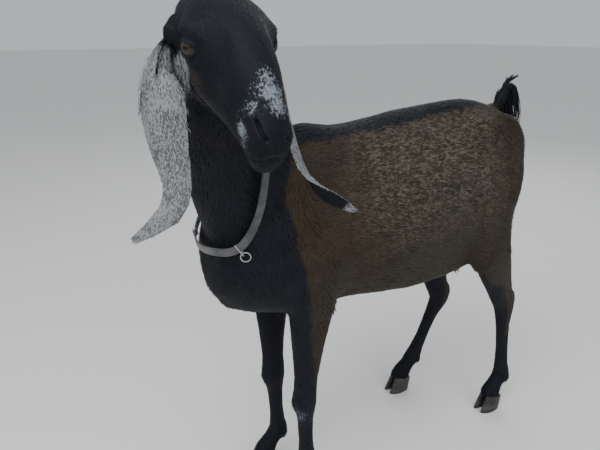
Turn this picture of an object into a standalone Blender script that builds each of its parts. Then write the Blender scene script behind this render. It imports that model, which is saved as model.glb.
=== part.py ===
# Life-size model of a standing Nubian goat that looks round to its left.
# Metres, +Z up, floor at z = 0. The goat faces -Y and its left side is +X.
# Places are written as (forward, left, up), and place() turns them into X, Y and Z.

import math
import random

import bmesh
import bpy
from mathutils import Matrix, Vector
from mathutils.bvhtree import BVHTree

# Driving dimensions of the body
WITHERS = 0.760
TRUNK_LENGTH = 0.745
CHEST_WIDTH = 0.262
PIN_BONES_FORWARD = -0.305
HEAD_LENGTH = 0.25
HEAD_WIDTH = 0.132
HEAD_YAW = math.radians(90.5)
HEAD_PITCH = math.radians(28)
BROW_CENTRE = (0.4585, 0.190, 0.893)
EAR_WIDTH = 0.074
EAR_THICKNESS = 0.0034
EYE_RADIUS = 0.0145
HOOF_LENGTH = 0.058
HOOF_HEIGHT = 0.042
CLAW_WIDTH = 0.0225
STRAP_WIDTH = 0.014
STRAP_THICKNESS = 0.0032
TAIL_LENGTH = 0.125
TAIL_LOCKS = 21

# Where the middle of each foot stands, and where its joints are
FEET = {
    "fore_left": (0.300, 0.074),
    "fore_right": (0.318, -0.040),
    "hind_left": (-0.272, 0.062),
    "hind_right": (-0.126, -0.116),
}
KNEES = {
    "fore_left": (0.281, 0.077, 0.236),
    "fore_right": (0.287, -0.040, 0.232),
}
HOCKS = {
    "hind_left": (-0.288, 0.060, 0.286),
    "hind_right": (-0.222, -0.088, 0.264),
}
PASTERN_LEAN = {"fore_left": 0.026, "fore_right": 0.040, "hind_left": 0.036, "hind_right": 0.048}

# Fits and mesh sizes
GAP = 0.0003
FLESH_VOXEL = 0.004
RING_POINTS = 44
HEAD_TRIANGLES = 3400
BODY_TRIANGLES = 5600
ORIGIN_SHIFT = (0.0, 0.0)

COLOURS = {
    "coat_brown": ((0.052, 0.037, 0.026), 0.75),
    "coat_black": ((0.012, 0.013, 0.018), 0.62),
    "ear_roan": ((0.42, 0.41, 0.40), 0.8),
    "horn": ((0.03, 0.026, 0.024), 0.5),
    "eye_amber": ((0.16, 0.085, 0.03), 0.12),
    "strap_grey": ((0.085, 0.082, 0.08), 0.65),
    "steel": ((0.45, 0.45, 0.46), 0.35),
}


def place(forward, left, up):
    """World position of a point given as forward, left and up."""
    return Vector((left + ORIGIN_SHIFT[0], -forward + ORIGIN_SHIFT[1], up))


def direction(forward, left, up):
    """World direction of a vector given as forward, left and up."""
    return Vector((left, -forward, up)).normalized()


HEAD_AXIS = direction(
    math.cos(HEAD_YAW) * math.cos(HEAD_PITCH),
    math.sin(HEAD_YAW) * math.cos(HEAD_PITCH),
    -math.sin(HEAD_PITCH),
)
HEAD_SIDE = Vector((0, 0, 1)).cross(HEAD_AXIS).normalized()
HEAD_UP = HEAD_AXIS.cross(HEAD_SIDE).normalized()


def on_head(along, side, up):
    """World position of a point of the head, from the middle between the eyes."""
    return place(*BROW_CENTRE) + HEAD_AXIS * along + HEAD_SIDE * side + HEAD_UP * up


def clear_scene():
    for old in list(bpy.data.objects):
        bpy.data.objects.remove(old)


def material(slot):
    found = bpy.data.materials.get(slot)
    if found:
        return found
    colour, roughness = COLOURS[slot]
    made = bpy.data.materials.new(slot)
    made.use_nodes = True
    shader = made.node_tree.nodes["Principled BSDF"]
    shader.inputs["Base Color"].default_value = (*colour, 1)
    shader.inputs["Roughness"].default_value = roughness
    shader.inputs["Metallic"].default_value = 1.0 if slot == "steel" else 0.0
    return made


def collection(name):
    made = bpy.data.collections.new(name)
    bpy.context.scene.collection.children.link(made)
    return made


def add_object(name, mesh, group, slot=None):
    made = bpy.data.objects.new(name, mesh)
    group.objects.link(made)
    if slot:
        made.data.materials.clear()
        made.data.materials.append(material(slot))
    return made


def curve_through(points, share):
    """Catmull-Rom value of a list of tuples, at a share from 0 to 1 of the list."""
    last = len(points) - 1
    at = min(max(share, 0.0), 1.0) * last
    i = min(int(at), last - 1)
    t = at - i
    before, start, end, after = (
        points[max(i - 1, 0)], points[i], points[i + 1], points[min(i + 2, last)],
    )
    return tuple(
        0.5 * (2 * b + (c - a) * t + (2 * a - 5 * b + 4 * c - d) * t * t + (3 * b - a - 3 * c + d) * t**3)
        for a, b, c, d in zip(before, start, end, after)
    )


def superellipse(angle, power):
    """Cosine and sine of an angle, squared off or pinched by the power."""
    c, s = math.cos(angle), math.sin(angle)
    return (
        math.copysign(abs(c) ** (2 / power), c),
        math.copysign(abs(s) ** (2 / power), s),
    )


def skin_rings(rings):
    """A closed mesh over rings of points that have equal counts."""
    shell = bmesh.new()
    rows = [[shell.verts.new(point) for point in ring] for ring in rings]
    count = len(rows[0])
    for row, following in zip(rows, rows[1:]):
        for i in range(count):
            j = (i + 1) % count
            shell.faces.new((row[i], row[j], following[j], following[i]))
    shell.faces.new(rows[0])
    shell.faces.new(rows[-1][::-1])
    bmesh.ops.recalc_face_normals(shell, faces=shell.faces)
    mesh = bpy.data.meshes.new("loft")
    shell.to_mesh(mesh)
    shell.free()
    return mesh


def loft(stations, steps=4, side_start=Vector((1, 0, 0)), side_end=None, count=RING_POINTS):
    """A body lofted through stations of (forward, left, up, half width, top, bottom, power above, power below)."""
    side_end = side_end or side_start
    total = (len(stations) - 1) * steps
    centres = [place(*curve_through(stations, i / total)[:3]) for i in range(total + 1)]
    rings = []
    for i, centre in enumerate(centres):
        share = i / total
        _, _, _, half, top, bottom, above, below = curve_through(stations, share)
        tangent = (centres[min(i + 1, total)] - centres[max(i - 1, 0)]).normalized()
        hint = side_start.lerp(side_end, share)
        side = (hint - tangent * hint.dot(tangent)).normalized()
        up = side.cross(tangent).normalized()
        ring = []
        for k in range(count):
            angle = 2 * math.pi * k / count
            upper = math.sin(angle) >= 0
            c, s = superellipse(angle, above if upper else below)
            ring.append(centre + side * c * half + up * s * (top if upper else bottom))
        rings.append(ring)
    return skin_rings(rings)


def ellipsoid(centre, radii, turn=Matrix(), segments=20, rings=12):
    ball = bmesh.new()
    bmesh.ops.create_uvsphere(ball, u_segments=segments, v_segments=rings, radius=1)
    size = Matrix.Diagonal((*radii, 1))
    bmesh.ops.transform(ball, matrix=Matrix.Translation(centre) @ turn.to_4x4() @ size, verts=ball.verts)
    bmesh.ops.recalc_face_normals(ball, faces=ball.faces)
    mesh = bpy.data.meshes.new("ellipsoid")
    ball.to_mesh(mesh)
    ball.free()
    return mesh


def trunk():
    """The barrel of the body, from the pin bones to the breast."""
    # share of the trunk, top, bottom and widest height as shares of the withers, half width, powers
    profile = (
        (0.000, 0.955, 0.790, 0.860, 0.32, 2.0, 2.0),
        (0.035, 1.012, 0.725, 0.845, 0.53, 2.0, 2.0),
        (0.100, 1.036, 0.630, 0.815, 0.72, 2.0, 2.0),
        (0.190, 1.034, 0.540, 0.780, 0.83, 1.85, 2.1),
        (0.310, 1.022, 0.508, 0.740, 0.87, 1.75, 2.2),
        (0.430, 1.006, 0.512, 0.710, 0.95, 1.75, 2.2),
        (0.540, 0.990, 0.528, 0.700, 0.99, 1.75, 2.2),
        (0.640, 0.984, 0.538, 0.695, 0.94, 1.75, 2.1),
        (0.740, 0.996, 0.536, 0.690, 0.85, 1.65, 2.0),
        (0.840, 0.960, 0.540, 0.690, 0.79, 1.8, 2.0),
        (0.930, 0.880, 0.568, 0.690, 0.64, 2.0, 2.0),
        (0.990, 0.800, 0.625, 0.690, 0.38, 2.0, 2.0),
    )
    stations = []
    for along, top, bottom, widest, width, above, below in profile:
        middle = widest * WITHERS
        stations.append((
            PIN_BONES_FORWARD + along * TRUNK_LENGTH, 0.0, middle, width * CHEST_WIDTH / 2,
            top * WITHERS - middle, middle - bottom * WITHERS, above, below,
        ))
    return loft(stations, steps=6, side_start=Vector((-1, 0, 0)), count=64)


def neck():
    """The neck, which rises from the breast and bends to the left under the head."""
    stations = (
        (0.265, 0.000, 0.600, 0.080, 0.120, 0.150, 2.0, 2.0),
        (0.330, 0.004, 0.665, 0.078, 0.105, 0.140, 1.8, 2.0),
        (0.385, 0.026, 0.735, 0.071, 0.086, 0.118, 1.8, 2.0),
        (0.425, 0.062, 0.805, 0.061, 0.070, 0.093, 1.8, 2.0),
        (0.447, 0.105, 0.862, 0.052, 0.058, 0.074, 1.9, 2.0),
        (0.453, 0.150, 0.893, 0.044, 0.045, 0.060, 2.0, 2.0),
    )
    return loft(stations, steps=6, side_start=Vector((-1, 0, 0)), side_end=-HEAD_SIDE, count=48)


def head():
    """The skull and jaw as one form, from the poll to the nose, with the breed's arched nose."""
    # along and half width as shares of the head, top and bottom, widest height, powers
    profile = (
        (-0.400, 0.44, 0.016, -0.040, -0.005, 2.0, 2.0),
        (-0.355, 0.64, 0.031, -0.066, -0.004, 2.1, 2.0),
        (-0.260, 0.73, 0.043, -0.086, -0.002, 2.1, 1.9),
        (-0.140, 0.84, 0.050, -0.096, 0.002, 2.1, 1.75),
        (-0.020, 0.88, 0.053, -0.096, 0.003, 2.1, 1.65),
        (0.100, 0.76, 0.051, -0.091, -0.002, 2.0, 1.6),
        (0.220, 0.61, 0.044, -0.086, -0.010, 2.1, 1.7),
        (0.340, 0.50, 0.031, -0.082, -0.020, 2.2, 1.9),
        (0.440, 0.43, 0.015, -0.081, -0.032, 2.2, 2.1),
        (0.525, 0.41, -0.003, -0.082, -0.040, 2.2, 2.2),
        (0.588, 0.37, -0.017, -0.081, -0.046, 2.2, 2.2),
        (0.624, 0.25, -0.031, -0.071, -0.050, 2.0, 2.0),
    )
    rings = []
    steps = 4
    total = (len(profile) - 1) * steps
    for i in range(total + 1):
        along, width, top, bottom, widest, above, below = curve_through(profile, i / total)
        ring = []
        for k in range(RING_POINTS):
            angle = 2 * math.pi * k / RING_POINTS
            upper = math.sin(angle) >= 0
            c, s = superellipse(angle, above if upper else below)
            reach = top - widest if upper else widest - bottom
            ring.append(on_head(along * HEAD_LENGTH, c * width * HEAD_WIDTH / 2, widest + s * reach))
        rings.append(ring)
    return skin_rings(rings)


def head_details():
    """Brows, cheeks, jaw muscles, ear bases, nostril pads, lips and chin that the loft leaves out."""
    turn = Matrix((HEAD_SIDE, HEAD_AXIS, HEAD_UP)).transposed()
    forms = []
    for side in (-1, 1):
        forms += [
            ellipsoid(on_head(-0.004, side * 0.049, 0.013), (0.014, 0.027, 0.015), turn),
            ellipsoid(on_head(0.004, side * 0.047, -0.012), (0.012, 0.026, 0.013), turn),
            ellipsoid(on_head(-0.040, side * 0.038, -0.045), (0.017, 0.040, 0.042), turn),
            ellipsoid(on_head(-0.052, side * 0.039, -0.004), (0.015, 0.020, 0.020), turn),
            ellipsoid(on_head(0.141, side * 0.0135, -0.032), (0.0125, 0.015, 0.014), turn),
            ellipsoid(on_head(0.135, side * 0.0135, -0.053), (0.014, 0.018, 0.009), turn),
        ]
    forms.append(ellipsoid(on_head(0.134, 0, -0.077), (0.018, 0.020, 0.011), turn))
    forms.append(ellipsoid(on_head(-0.062, 0, 0.034), (0.036, 0.036, 0.019), turn))
    return forms


def leg_stations(points):
    """Stations of a leg from (forward, left, up, half width, half depth)."""
    return [(f, l, u, across, deep, deep, 2.0, 2.0) for f, l, u, across, deep in points]


def mixed(start, end, share):
    return tuple(a + (b - a) * share for a, b in zip(start, end))


def pastern_stations(name, joint):
    """The cannon, fetlock and pastern below a knee or hock."""
    forward, left = FEET[name]
    lean = PASTERN_LEAN[name]
    fetlock = (forward - lean, left, 0.090)
    return [
        (*mixed(joint, fetlock, 0.28), 0.0150, 0.0172),
        (*mixed(joint, fetlock, 0.62), 0.0135, 0.0152),
        (*mixed(joint, fetlock, 0.86), 0.0155, 0.0172),
        (*fetlock, 0.0185, 0.0205),
        (forward - lean * 0.62, left, 0.070, 0.0170, 0.0180),
        (forward - lean * 0.25, left, 0.050, 0.0205, 0.0225),
        (forward, left, 0.028, 0.0225, 0.0260),
    ]


def foreleg(name, side):
    knee = KNEES[name]
    elbow = (0.270, side * 0.080, 0.440)
    points = [
        (0.300, side * 0.066, 0.600, 0.036, 0.070),
        (0.285, side * 0.078, 0.520, 0.038, 0.064),
        (*elbow, 0.034, 0.050),
        (*mixed(elbow, knee, 0.42), 0.0255, 0.0350),
        (*mixed(elbow, knee, 0.78), 0.0210, 0.0245),
        (*knee, 0.0230, 0.0240),
    ] + pastern_stations(name, knee)
    return loft(leg_stations(points), side_start=Vector((1, 0, 0)), count=20)


def stifle_place(name):
    """The front of the stifle, which follows part of the hock's step forward."""
    side = 1 if "left" in name else -1
    step = (HOCKS[name][0] - HOCKS["hind_left"][0]) * 0.55
    return (-0.158 + step, side * 0.088, 0.455)


def hind_leg(name, side):
    hock = HOCKS[name]
    front = stifle_place(name)
    step = front[0] + 0.158
    knuckle = (front[0] - 0.029, side * 0.085, 0.465)
    points = [
        (-0.206 + step * 0.2, side * 0.050, 0.690, 0.040, 0.080),
        (-0.190 + step * 0.4, side * 0.066, 0.610, 0.050, 0.076),
        (-0.176 + step * 0.7, side * 0.076, 0.535, 0.047, 0.060),
        (*knuckle, 0.038, 0.050),
        (*mixed(knuckle, hock, 0.42), 0.0275, 0.0440),
        (*mixed(knuckle, hock, 0.78), 0.0205, 0.0335),
        (*hock, 0.0210, 0.0275),
    ] + pastern_stations(name, hock)
    return loft(leg_stations(points), side_start=Vector((1, 0, 0)), count=20)


def tilt(degrees, axis="X"):
    return Matrix.Rotation(math.radians(degrees), 4, axis)


def muscle_forms():
    """Shoulder blades, upper arms, hip bones, stifles, points of hock, brisket, udder and dewclaws."""
    forms = []
    for side in (-1, 1):
        forms += [
            ellipsoid(place(0.250, side * 0.050, 0.632), (0.041, 0.066, 0.090), tilt(-22)),
            ellipsoid(place(0.325, side * 0.066, 0.545), (0.036, 0.056, 0.062), tilt(20)),
            ellipsoid(place(-0.140, side * 0.058, 0.724), (0.034, 0.052, 0.026), tilt(24 * side, "Y")),
            ellipsoid(place(-0.264, side * 0.040, 0.676), (0.024, 0.026, 0.034)),
            ellipsoid(place(-0.200, side * 0.058, 0.670), (0.038, 0.080, 0.080)),
        ]
    forms.append(ellipsoid(place(0.362, -0.002, 0.496), (0.050, 0.062, 0.074), tilt(-30)))
    forms.append(ellipsoid(place(0.235, 0, 0.718), (0.024, 0.090, 0.036)))
    forms.append(ellipsoid(place(-0.180, -0.012, 0.440), (0.052, 0.060, 0.044)))
    for side in (-1, 1):
        teat = place(-0.160, -0.012 + side * 0.026, 0.398)
        forms.append(ellipsoid(teat, (0.0085, 0.0095, 0.026), tilt(12)))
    for name, hock in HOCKS.items():
        forward, left, up = hock
        forms.append(ellipsoid(place(forward - 0.019, left, up + 0.016), (0.0125, 0.0145, 0.028), tilt(14)))
        forms.append(ellipsoid(place(*stifle_place(name)), (0.029, 0.030, 0.044)))
    for name, knee in KNEES.items():
        forward, left, up = knee
        forms.append(ellipsoid(place(forward + 0.004, left, up), (0.0225, 0.0225, 0.028)))
    for name, (forward, left) in FEET.items():
        for side in (-1, 1):
            dewclaw = place(forward - PASTERN_LEAN[name] * 0.7 - 0.023, left + side * 0.011, 0.077)
            forms.append(ellipsoid(dewclaw, (0.0075, 0.0075, 0.012), tilt(-30), 12, 8))
    return forms


def fused_flesh(group):
    """The whole body as one closed skin: every form joined, remeshed and smoothed."""
    meshes = [trunk(), neck(), head()] + head_details() + muscle_forms()
    meshes += [foreleg("fore_left", 1), foreleg("fore_right", -1)]
    meshes += [hind_leg("hind_left", 1), hind_leg("hind_right", -1)]
    joined = bmesh.new()
    for mesh in meshes:
        joined.from_mesh(mesh)
        bpy.data.meshes.remove(mesh)
    whole = bpy.data.meshes.new("flesh")
    joined.to_mesh(whole)
    joined.free()
    rough = add_object("rough", whole, group)
    remesh = rough.modifiers.new("skin", "REMESH")
    remesh.mode = "VOXEL"
    remesh.voxel_size = FLESH_VOXEL
    flesh = add_object("flesh", evaluated_mesh(rough), group)
    bpy.data.objects.remove(rough)
    barrel = flesh.vertex_groups.new(name="barrel")
    seam_point, seam_normal = place(*HEAD_SEAM[0]), direction(*HEAD_SEAM[1])
    for vertex in flesh.data.vertices:
        behind = min(max((seam_point - vertex.co).dot(seam_normal) / 0.05, 0.0), 1.0)
        barrel.add([vertex.index], behind * min(max((vertex.co.z - 0.43) / 0.07, 0.0), 1.0), "REPLACE")
    for iterations, group_name in ((12, ""), (70, "barrel")):
        smooth = flesh.modifiers.new("soften", "SMOOTH")
        smooth.factor = 0.5
        smooth.iterations = iterations
        smooth.vertex_group = group_name
    return flesh


def evaluated_mesh(obj):
    graph = bpy.context.evaluated_depsgraph_get()
    return bpy.data.meshes.new_from_object(obj.evaluated_get(graph))


def decimated(mesh, triangles, group):
    """A copy of a mesh thinned to a count of triangles."""
    helper = add_object("thin", mesh.copy(), group)
    thin = helper.modifiers.new("thin", "DECIMATE")
    helper.data.calc_loop_triangles()
    thin.ratio = triangles / len(helper.data.loop_triangles)
    made = evaluated_mesh(helper)
    bpy.data.objects.remove(helper)
    return made


def trimmed(mesh, point, normal):
    """A copy of a closed mesh without what lies beyond a plane, closed again."""
    work = bmesh.new()
    work.from_mesh(mesh)
    everything = work.verts[:] + work.edges[:] + work.faces[:]
    cut = bmesh.ops.bisect_plane(
        work, geom=everything, dist=1e-6, plane_co=point, plane_no=normal, clear_outer=True
    )
    rim = [item for item in cut["geom_cut"] if isinstance(item, bmesh.types.BMEdge)]
    bmesh.ops.holes_fill(work, edges=rim)
    bmesh.ops.triangulate(work, faces=work.faces)
    made = bpy.data.meshes.new("trimmed")
    work.to_mesh(made)
    work.free()
    return made


def largest_body(mesh):
    """Keeps the largest closed surface of a mesh."""
    work = bmesh.new()
    work.from_mesh(mesh)
    work.faces.ensure_lookup_table()
    seen = set()
    bodies = []
    for face in work.faces:
        if face.index in seen:
            continue
        body = [face]
        seen.add(face.index)
        for item in body:
            for edge in item.edges:
                for other in edge.link_faces:
                    if other.index not in seen:
                        seen.add(other.index)
                        body.append(other)
        bodies.append(body)
    bodies.sort(key=len)
    for body in bodies[:-1]:
        bmesh.ops.delete(work, geom=body, context="FACES")
    work.to_mesh(mesh)
    work.free()
    return mesh


def boolean(mesh, others, operation, group, solver="EXACT"):
    """A mesh joined with, or cut by, a list of closed meshes."""
    helper = add_object("worked", mesh, group)
    tools = bpy.data.collections.new("tools")
    for other in others:
        add_object("tool", other, tools)
    step = helper.modifiers.new("worked", "BOOLEAN")
    step.operand_type = "COLLECTION"
    step.collection = tools
    step.operation = operation
    step.solver = solver
    made = evaluated_mesh(helper)
    bpy.data.objects.remove(helper)
    for tool in list(tools.objects):
        bpy.data.objects.remove(tool)
    bpy.data.collections.remove(tools)
    return made


def grown(mesh, distance, group):
    """A copy of a mesh whose surface lies a distance outside, for cutting with a gap."""
    helper = add_object("grown", mesh.copy(), group)
    push = helper.modifiers.new("push", "DISPLACE")
    push.strength = distance
    push.mid_level = 0
    made = evaluated_mesh(helper)
    bpy.data.objects.remove(helper)
    return made


def prism(corners, back, front):
    """A closed block whose (left, up) corners run from one forward distance to another."""
    near = [place(front, left, up) for left, up in corners]
    far = [place(back, left, up) for left, up in corners]
    return skin_rings([near, far])


def slab(point, normal, across, depth):
    """A closed block on the far side of a plane, as wide as across to each side of the point."""
    normal = normal.normalized()
    first = normal.orthogonal().normalized()
    second = normal.cross(first)
    corners = ((-1, -1), (1, -1), (1, 1), (-1, 1))
    near = [point + first * across * i + second * across * j for i, j in corners]
    return skin_rings([near, [corner + normal * depth for corner in near]])


def tube(points, radii, count=8, flat=1.0, hint=Vector((0, 0, 1))):
    """A closed round bar through world points, pressed flat along the hint."""
    rings = []
    for i, (point, radius) in enumerate(zip(points, radii)):
        tangent = (points[min(i + 1, len(points) - 1)] - points[max(i - 1, 0)]).normalized()
        up = (hint - tangent * hint.dot(tangent)).normalized()
        side = up.cross(tangent)
        ring = []
        for k in range(count):
            angle = 2 * math.pi * k / count
            ring.append(point + side * math.cos(angle) * radius + up * math.sin(angle) * radius * flat)
        rings.append(ring)
    return skin_rings(rings)


def ring_bar(points, normals, width, thickness):
    """A closed band of flat section through a loop of world points."""
    band = bmesh.new()
    rows = []
    count = len(points)
    for k, (point, out) in enumerate(zip(points, normals)):
        tangent = (points[(k + 1) % count] - points[k - 1]).normalized()
        across = tangent.cross(out).normalized()
        corners = ((-0.5, 0), (0.5, 0), (0.5, 1), (-0.5, 1))
        rows.append([band.verts.new(point + across * width * i + out * thickness * j) for i, j in corners])
    for i in range(count):
        row, following = rows[i], rows[(i + 1) % count]
        for k in range(4):
            band.faces.new((row[k], row[(k + 1) % 4], following[(k + 1) % 4], following[k]))
    bmesh.ops.recalc_face_normals(band, faces=band.faces)
    mesh = bpy.data.meshes.new("band")
    band.to_mesh(mesh)
    band.free()
    return mesh


EYE_ALONG, EYE_SIDE, EYE_UP = 0.004, 0.0490, 0.000


def eyeball(side, gap=0.0):
    """The eye or, with a gap, the socket that it lies in."""
    centre = on_head(EYE_ALONG, side * EYE_SIDE, EYE_UP)
    turn = Matrix((HEAD_AXIS, HEAD_UP, HEAD_SIDE)).transposed()
    return ellipsoid(centre, (EYE_RADIUS + gap,) * 3, turn, 14, 9)


def lid_mound(side):
    """The bulge of both lids over the eye, before they are opened."""
    centre = on_head(EYE_ALONG, side * EYE_SIDE, EYE_UP)
    turn = Matrix((HEAD_AXIS, HEAD_UP, HEAD_SIDE)).transposed()
    return ellipsoid(centre, (EYE_RADIUS + 0.0045, EYE_RADIUS + 0.0030, EYE_RADIUS + 0.0022), turn, 20, 12)


def lid_opening(side):
    """A block with the almond outline between the lids."""
    near, far = [], []
    for k in range(16):
        angle = 2 * math.pi * k / 16
        along = math.cos(angle) * 0.0125
        height = 0.0068 if math.sin(angle) > 0 else 0.0052
        up = math.sin(angle) * abs(math.sin(angle)) ** 0.4 * height - along * 0.16
        near.append(on_head(EYE_ALONG + along * 0.8, side * (EYE_SIDE + 0.002), EYE_UP + up * 0.8))
        far.append(on_head(EYE_ALONG + 0.002 + along * 1.15, side * (EYE_SIDE + 0.030), EYE_UP + up * 1.2))
    return skin_rings([near, far])


def nostril(side, surface):
    """A comma-shaped slit that opens to the front and the side and follows the skin."""
    places = (
        (0.122, 0.0155, -0.0180), (0.128, 0.0145, -0.0195), (0.133, 0.0125, -0.0230),
        (0.136, 0.0095, -0.0275), (0.137, 0.0062, -0.0325), (0.136, 0.0040, -0.0360),
    )
    outward = (HEAD_AXIS * 0.75 + HEAD_SIDE * side * 0.75 + HEAD_UP * 0.15).normalized()
    points = []
    for along, out, up in places:
        inside = on_head(along, side * out, up)
        hit = surface.ray_cast(inside + outward * 0.08, -outward)[0]
        points.append(hit - outward * 0.0008)
    return tube(points, (0.0012, 0.0026, 0.0036, 0.0042, 0.0034, 0.0016), 8)


def mouth_line(surface):
    """A bar that follows the skin from one corner of the mouth to the other."""
    points = []
    for k in range(-9, 10):
        share = abs(k) / 9
        side = math.copysign(1, k) if k else 0
        along = 0.153 - 0.075 * share**1.7
        up = -0.0560 - 0.0085 * math.sin(math.pi * share) - 0.004 * share
        spread = math.sin(min(share * 1.5, 1.0) * math.pi / 2)
        outward = (HEAD_AXIS * (1 - spread) + HEAD_SIDE * side * spread).normalized()
        inside = on_head(along - 0.03 * (1 - spread), 0, up)
        hit = surface.ray_cast(inside + outward * 0.09, -outward)[0]
        points.append(hit if hit else inside + outward * 0.02)
    return tube(points, [0.0010] + [0.0016] * 17 + [0.0010], 6)


def ear(side):
    """A long hanging ear: a thin leaf with a hollow inner face that turns outward at its tip."""
    if side < 0:
        spine = (
            (0.504, 0.153, 0.919), (0.527, 0.154, 0.900), (0.541, 0.153, 0.862), (0.541, 0.152, 0.812),
            (0.535, 0.154, 0.758), (0.528, 0.156, 0.712), (0.540, 0.149, 0.672), (0.584, 0.124, 0.636),
        )
        widths = ((0.15, -0.9, 0.35), (0.5, -0.8, 0.2), (0.7, -0.7, 0), (0.76, -0.65, 0),
                  (0.78, -0.6, 0), (0.72, -0.45, 0.3), (0.5, -0.2, 0.7), (0.35, -0.1, 0.85))
    else:
        spine = (
            (0.412, 0.158, 0.921), (0.397, 0.163, 0.902), (0.379, 0.174, 0.856), (0.370, 0.178, 0.804),
            (0.359, 0.186, 0.752), (0.345, 0.193, 0.714), (0.318, 0.208, 0.684), (0.286, 0.227, 0.660),
        )
        widths = ((-0.1, 0.9, -0.35), (0.1, 0.95, -0.1), (0.4, 0.9, 0), (0.5, 0.86, 0),
                  (0.55, 0.8, 0.1), (0.6, 0.5, 0.5), (0.5, 0.2, 0.8), (0.45, 0.1, 0.85))
    shares = (0.38, 0.52, 0.84, 0.94, 0.76, 0.58, 0.50, 0.17)
    folds = (0.62, 0.50, 0.34, 0.20, 0.16, 0.16, 0.16, 0.10)
    rows = 15
    rings = []
    for i in range(rows):
        at = i / (rows - 1)
        centre = place(*curve_through(spine, at))
        before = place(*curve_through(spine, max(at - 0.03, 0)))
        after = place(*curve_through(spine, min(at + 0.03, 1)))
        tangent = (after - before).normalized()
        wide = direction(*curve_through(widths, at))
        wide = (wide - tangent * wide.dot(tangent)).normalized()
        inner = tangent.cross(wide)
        half = curve_through([(value,) for value in shares], at)[0] * EAR_WIDTH / 2
        fold = curve_through([(value,) for value in folds], at)[0]
        outer_row, inner_row = [], []
        for k in range(7):
            across = k / 3 - 1
            angle = across * fold * math.pi
            reach = half / max(fold * math.pi, 0.01)
            point = centre + wide * math.sin(angle) * reach + inner * (1 - math.cos(angle)) * reach
            normal = (inner * math.cos(angle) - wide * math.sin(angle)).normalized()
            thick = EAR_THICKNESS * (0.62 if abs(across) > 0.9 else 1.0)
            outer_row.append(point - normal * thick / 2)
            inner_row.append(point + normal * thick / 2)
        rings.append(outer_row + inner_row[::-1])
    return skin_rings(rings)


def tail(count):
    """The dock, held up, and the flat tapered locks that stand on it and fall behind it."""
    dock = tube(
        [place(-0.236, 0, 0.735), place(-0.262, 0, 0.762), place(-0.276, 0, 0.786), place(-0.282, 0, 0.806)],
        (0.0180, 0.0150, 0.0115, 0.0060), 12,
    )
    return [dock] + tail_locks(count)


def tail_locks(count):
    """Locks rooted all along the dock: those near its tip stand up, the others arch back and fall."""
    chance = random.Random(41)
    locks = []
    for i in range(count):
        share = (i + 0.5) / count
        side = (i % 3 - 1) * 0.8 + chance.uniform(-0.2, 0.2)
        root = place(-0.250 - 0.028 * share, side * 0.007, 0.752 + 0.044 * share)
        standing = share > 0.82
        fall = TAIL_LENGTH * (0.52 + 0.16 * chance.random()) * (0.60 + 0.55 * share)
        back = 0.030 + 0.026 * share + 0.008 * chance.random()
        points, radii = [], []
        for k in range(5):
            t = k / 4
            if standing:
                step = Vector((side * 0.010 * t, 0.016 * t * t + 0.004 * t, 0.030 * t))
            else:
                rise = 0.012 * math.sin(math.pi * min(t * 1.6, 1))
                step = Vector((side * 0.024 * t, back * math.sin(t * math.pi / 2), rise - fall * t**1.7))
            points.append(root + step)
            radii.append((0.0075, 0.0105, 0.0098, 0.0070, 0.0014)[k] * (0.75 if standing else 1.0))
        locks.append(tube(points, radii, 5, 0.45, Vector((side * 0.6, 1, 0.2))))
    return locks


def claw(name, side):
    """One claw of a foot: a flat sole, a sloping wall and a top that follows the coronet."""
    forward, left = FEET[name]
    rings = []
    for share in (0.0, 0.08, 0.45, 1.0):
        ring = []
        length = HOOF_LENGTH * (0.5 - 0.115 * share)
        width = CLAW_WIDTH * (0.5 - 0.03 * share)
        for k in range(18):
            angle = 2 * math.pi * k / 18
            c, s = superellipse(angle, 2.3)
            toe = 1 - 0.26 * max(c, 0) ** 2
            across = s * width * toe
            if across * side < 0:
                across *= 0.74
            along = c * length - 0.014 * share
            across += side * (CLAW_WIDTH * 0.37 + 0.0021 - 0.0021 * share - 0.0022 * max(c, 0) ** 2)
            top = coronet_height(along) - GAP
            inset = 0.0012 if share == 0.0 else 0.0
            ring.append(place(forward + 0.006 + along * (1 - inset / 0.03), left + across, top * share))
        rings.append(ring)
    return skin_rings(rings)


def coronet_height(along):
    """Height of the upper edge of the hoof at a distance forward of the foot's middle."""
    return HOOF_HEIGHT + 0.20 * along


def coronet_plane(name):
    forward, left = FEET[name]
    return place(forward + 0.006, left, HOOF_HEIGHT), direction(-0.20, 0, 1)


STRAP_PATH = (
    (0.372, 0.045, 0.860), (0.368, 0.088, 0.830), (0.366, 0.106, 0.780), (0.370, 0.106, 0.730),
    (0.374, 0.100, 0.685), (0.377, 0.092, 0.646), (0.386, 0.082, 0.606), (0.398, 0.077, 0.580),
    (0.415, 0.066, 0.566), (0.434, 0.038, 0.564), (0.442, 0.000, 0.558), (0.434, -0.038, 0.566),
    (0.405, -0.070, 0.605), (0.388, -0.064, 0.680), (0.378, -0.038, 0.770), (0.372, 0.000, 0.840),
)


def strap_loop(surface, clearance, count=52):
    """Points and outward directions of the loose strap, kept clear of the neck."""
    middle = sum((place(*point) for point in STRAP_PATH), Vector()) / len(STRAP_PATH)
    wrapped = (STRAP_PATH[-1],) + STRAP_PATH + STRAP_PATH[:2]
    points, normals = [], []
    for i in range(count):
        share = (1 + i / count * len(STRAP_PATH)) / (len(wrapped) - 1)
        point = place(*curve_through(wrapped, share))
        near, normal = surface.find_nearest(point)[:2]
        height = (point - near).dot(normal)
        out = (normal * 0.8 + (point - middle).normalized() * 0.2).normalized()
        if height < clearance:
            point = point + normal * (clearance - height)
        points.append(point)
        normals.append(out)
    for _ in range(3):
        points = [(points[i - 1] + points[i] * 2 + points[(i + 1) % count]) / 4 for i in range(count)]
        normals = [(normals[i - 1] + normals[i] + normals[(i + 1) % count]).normalized() for i in range(count)]
    return points, normals


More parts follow.
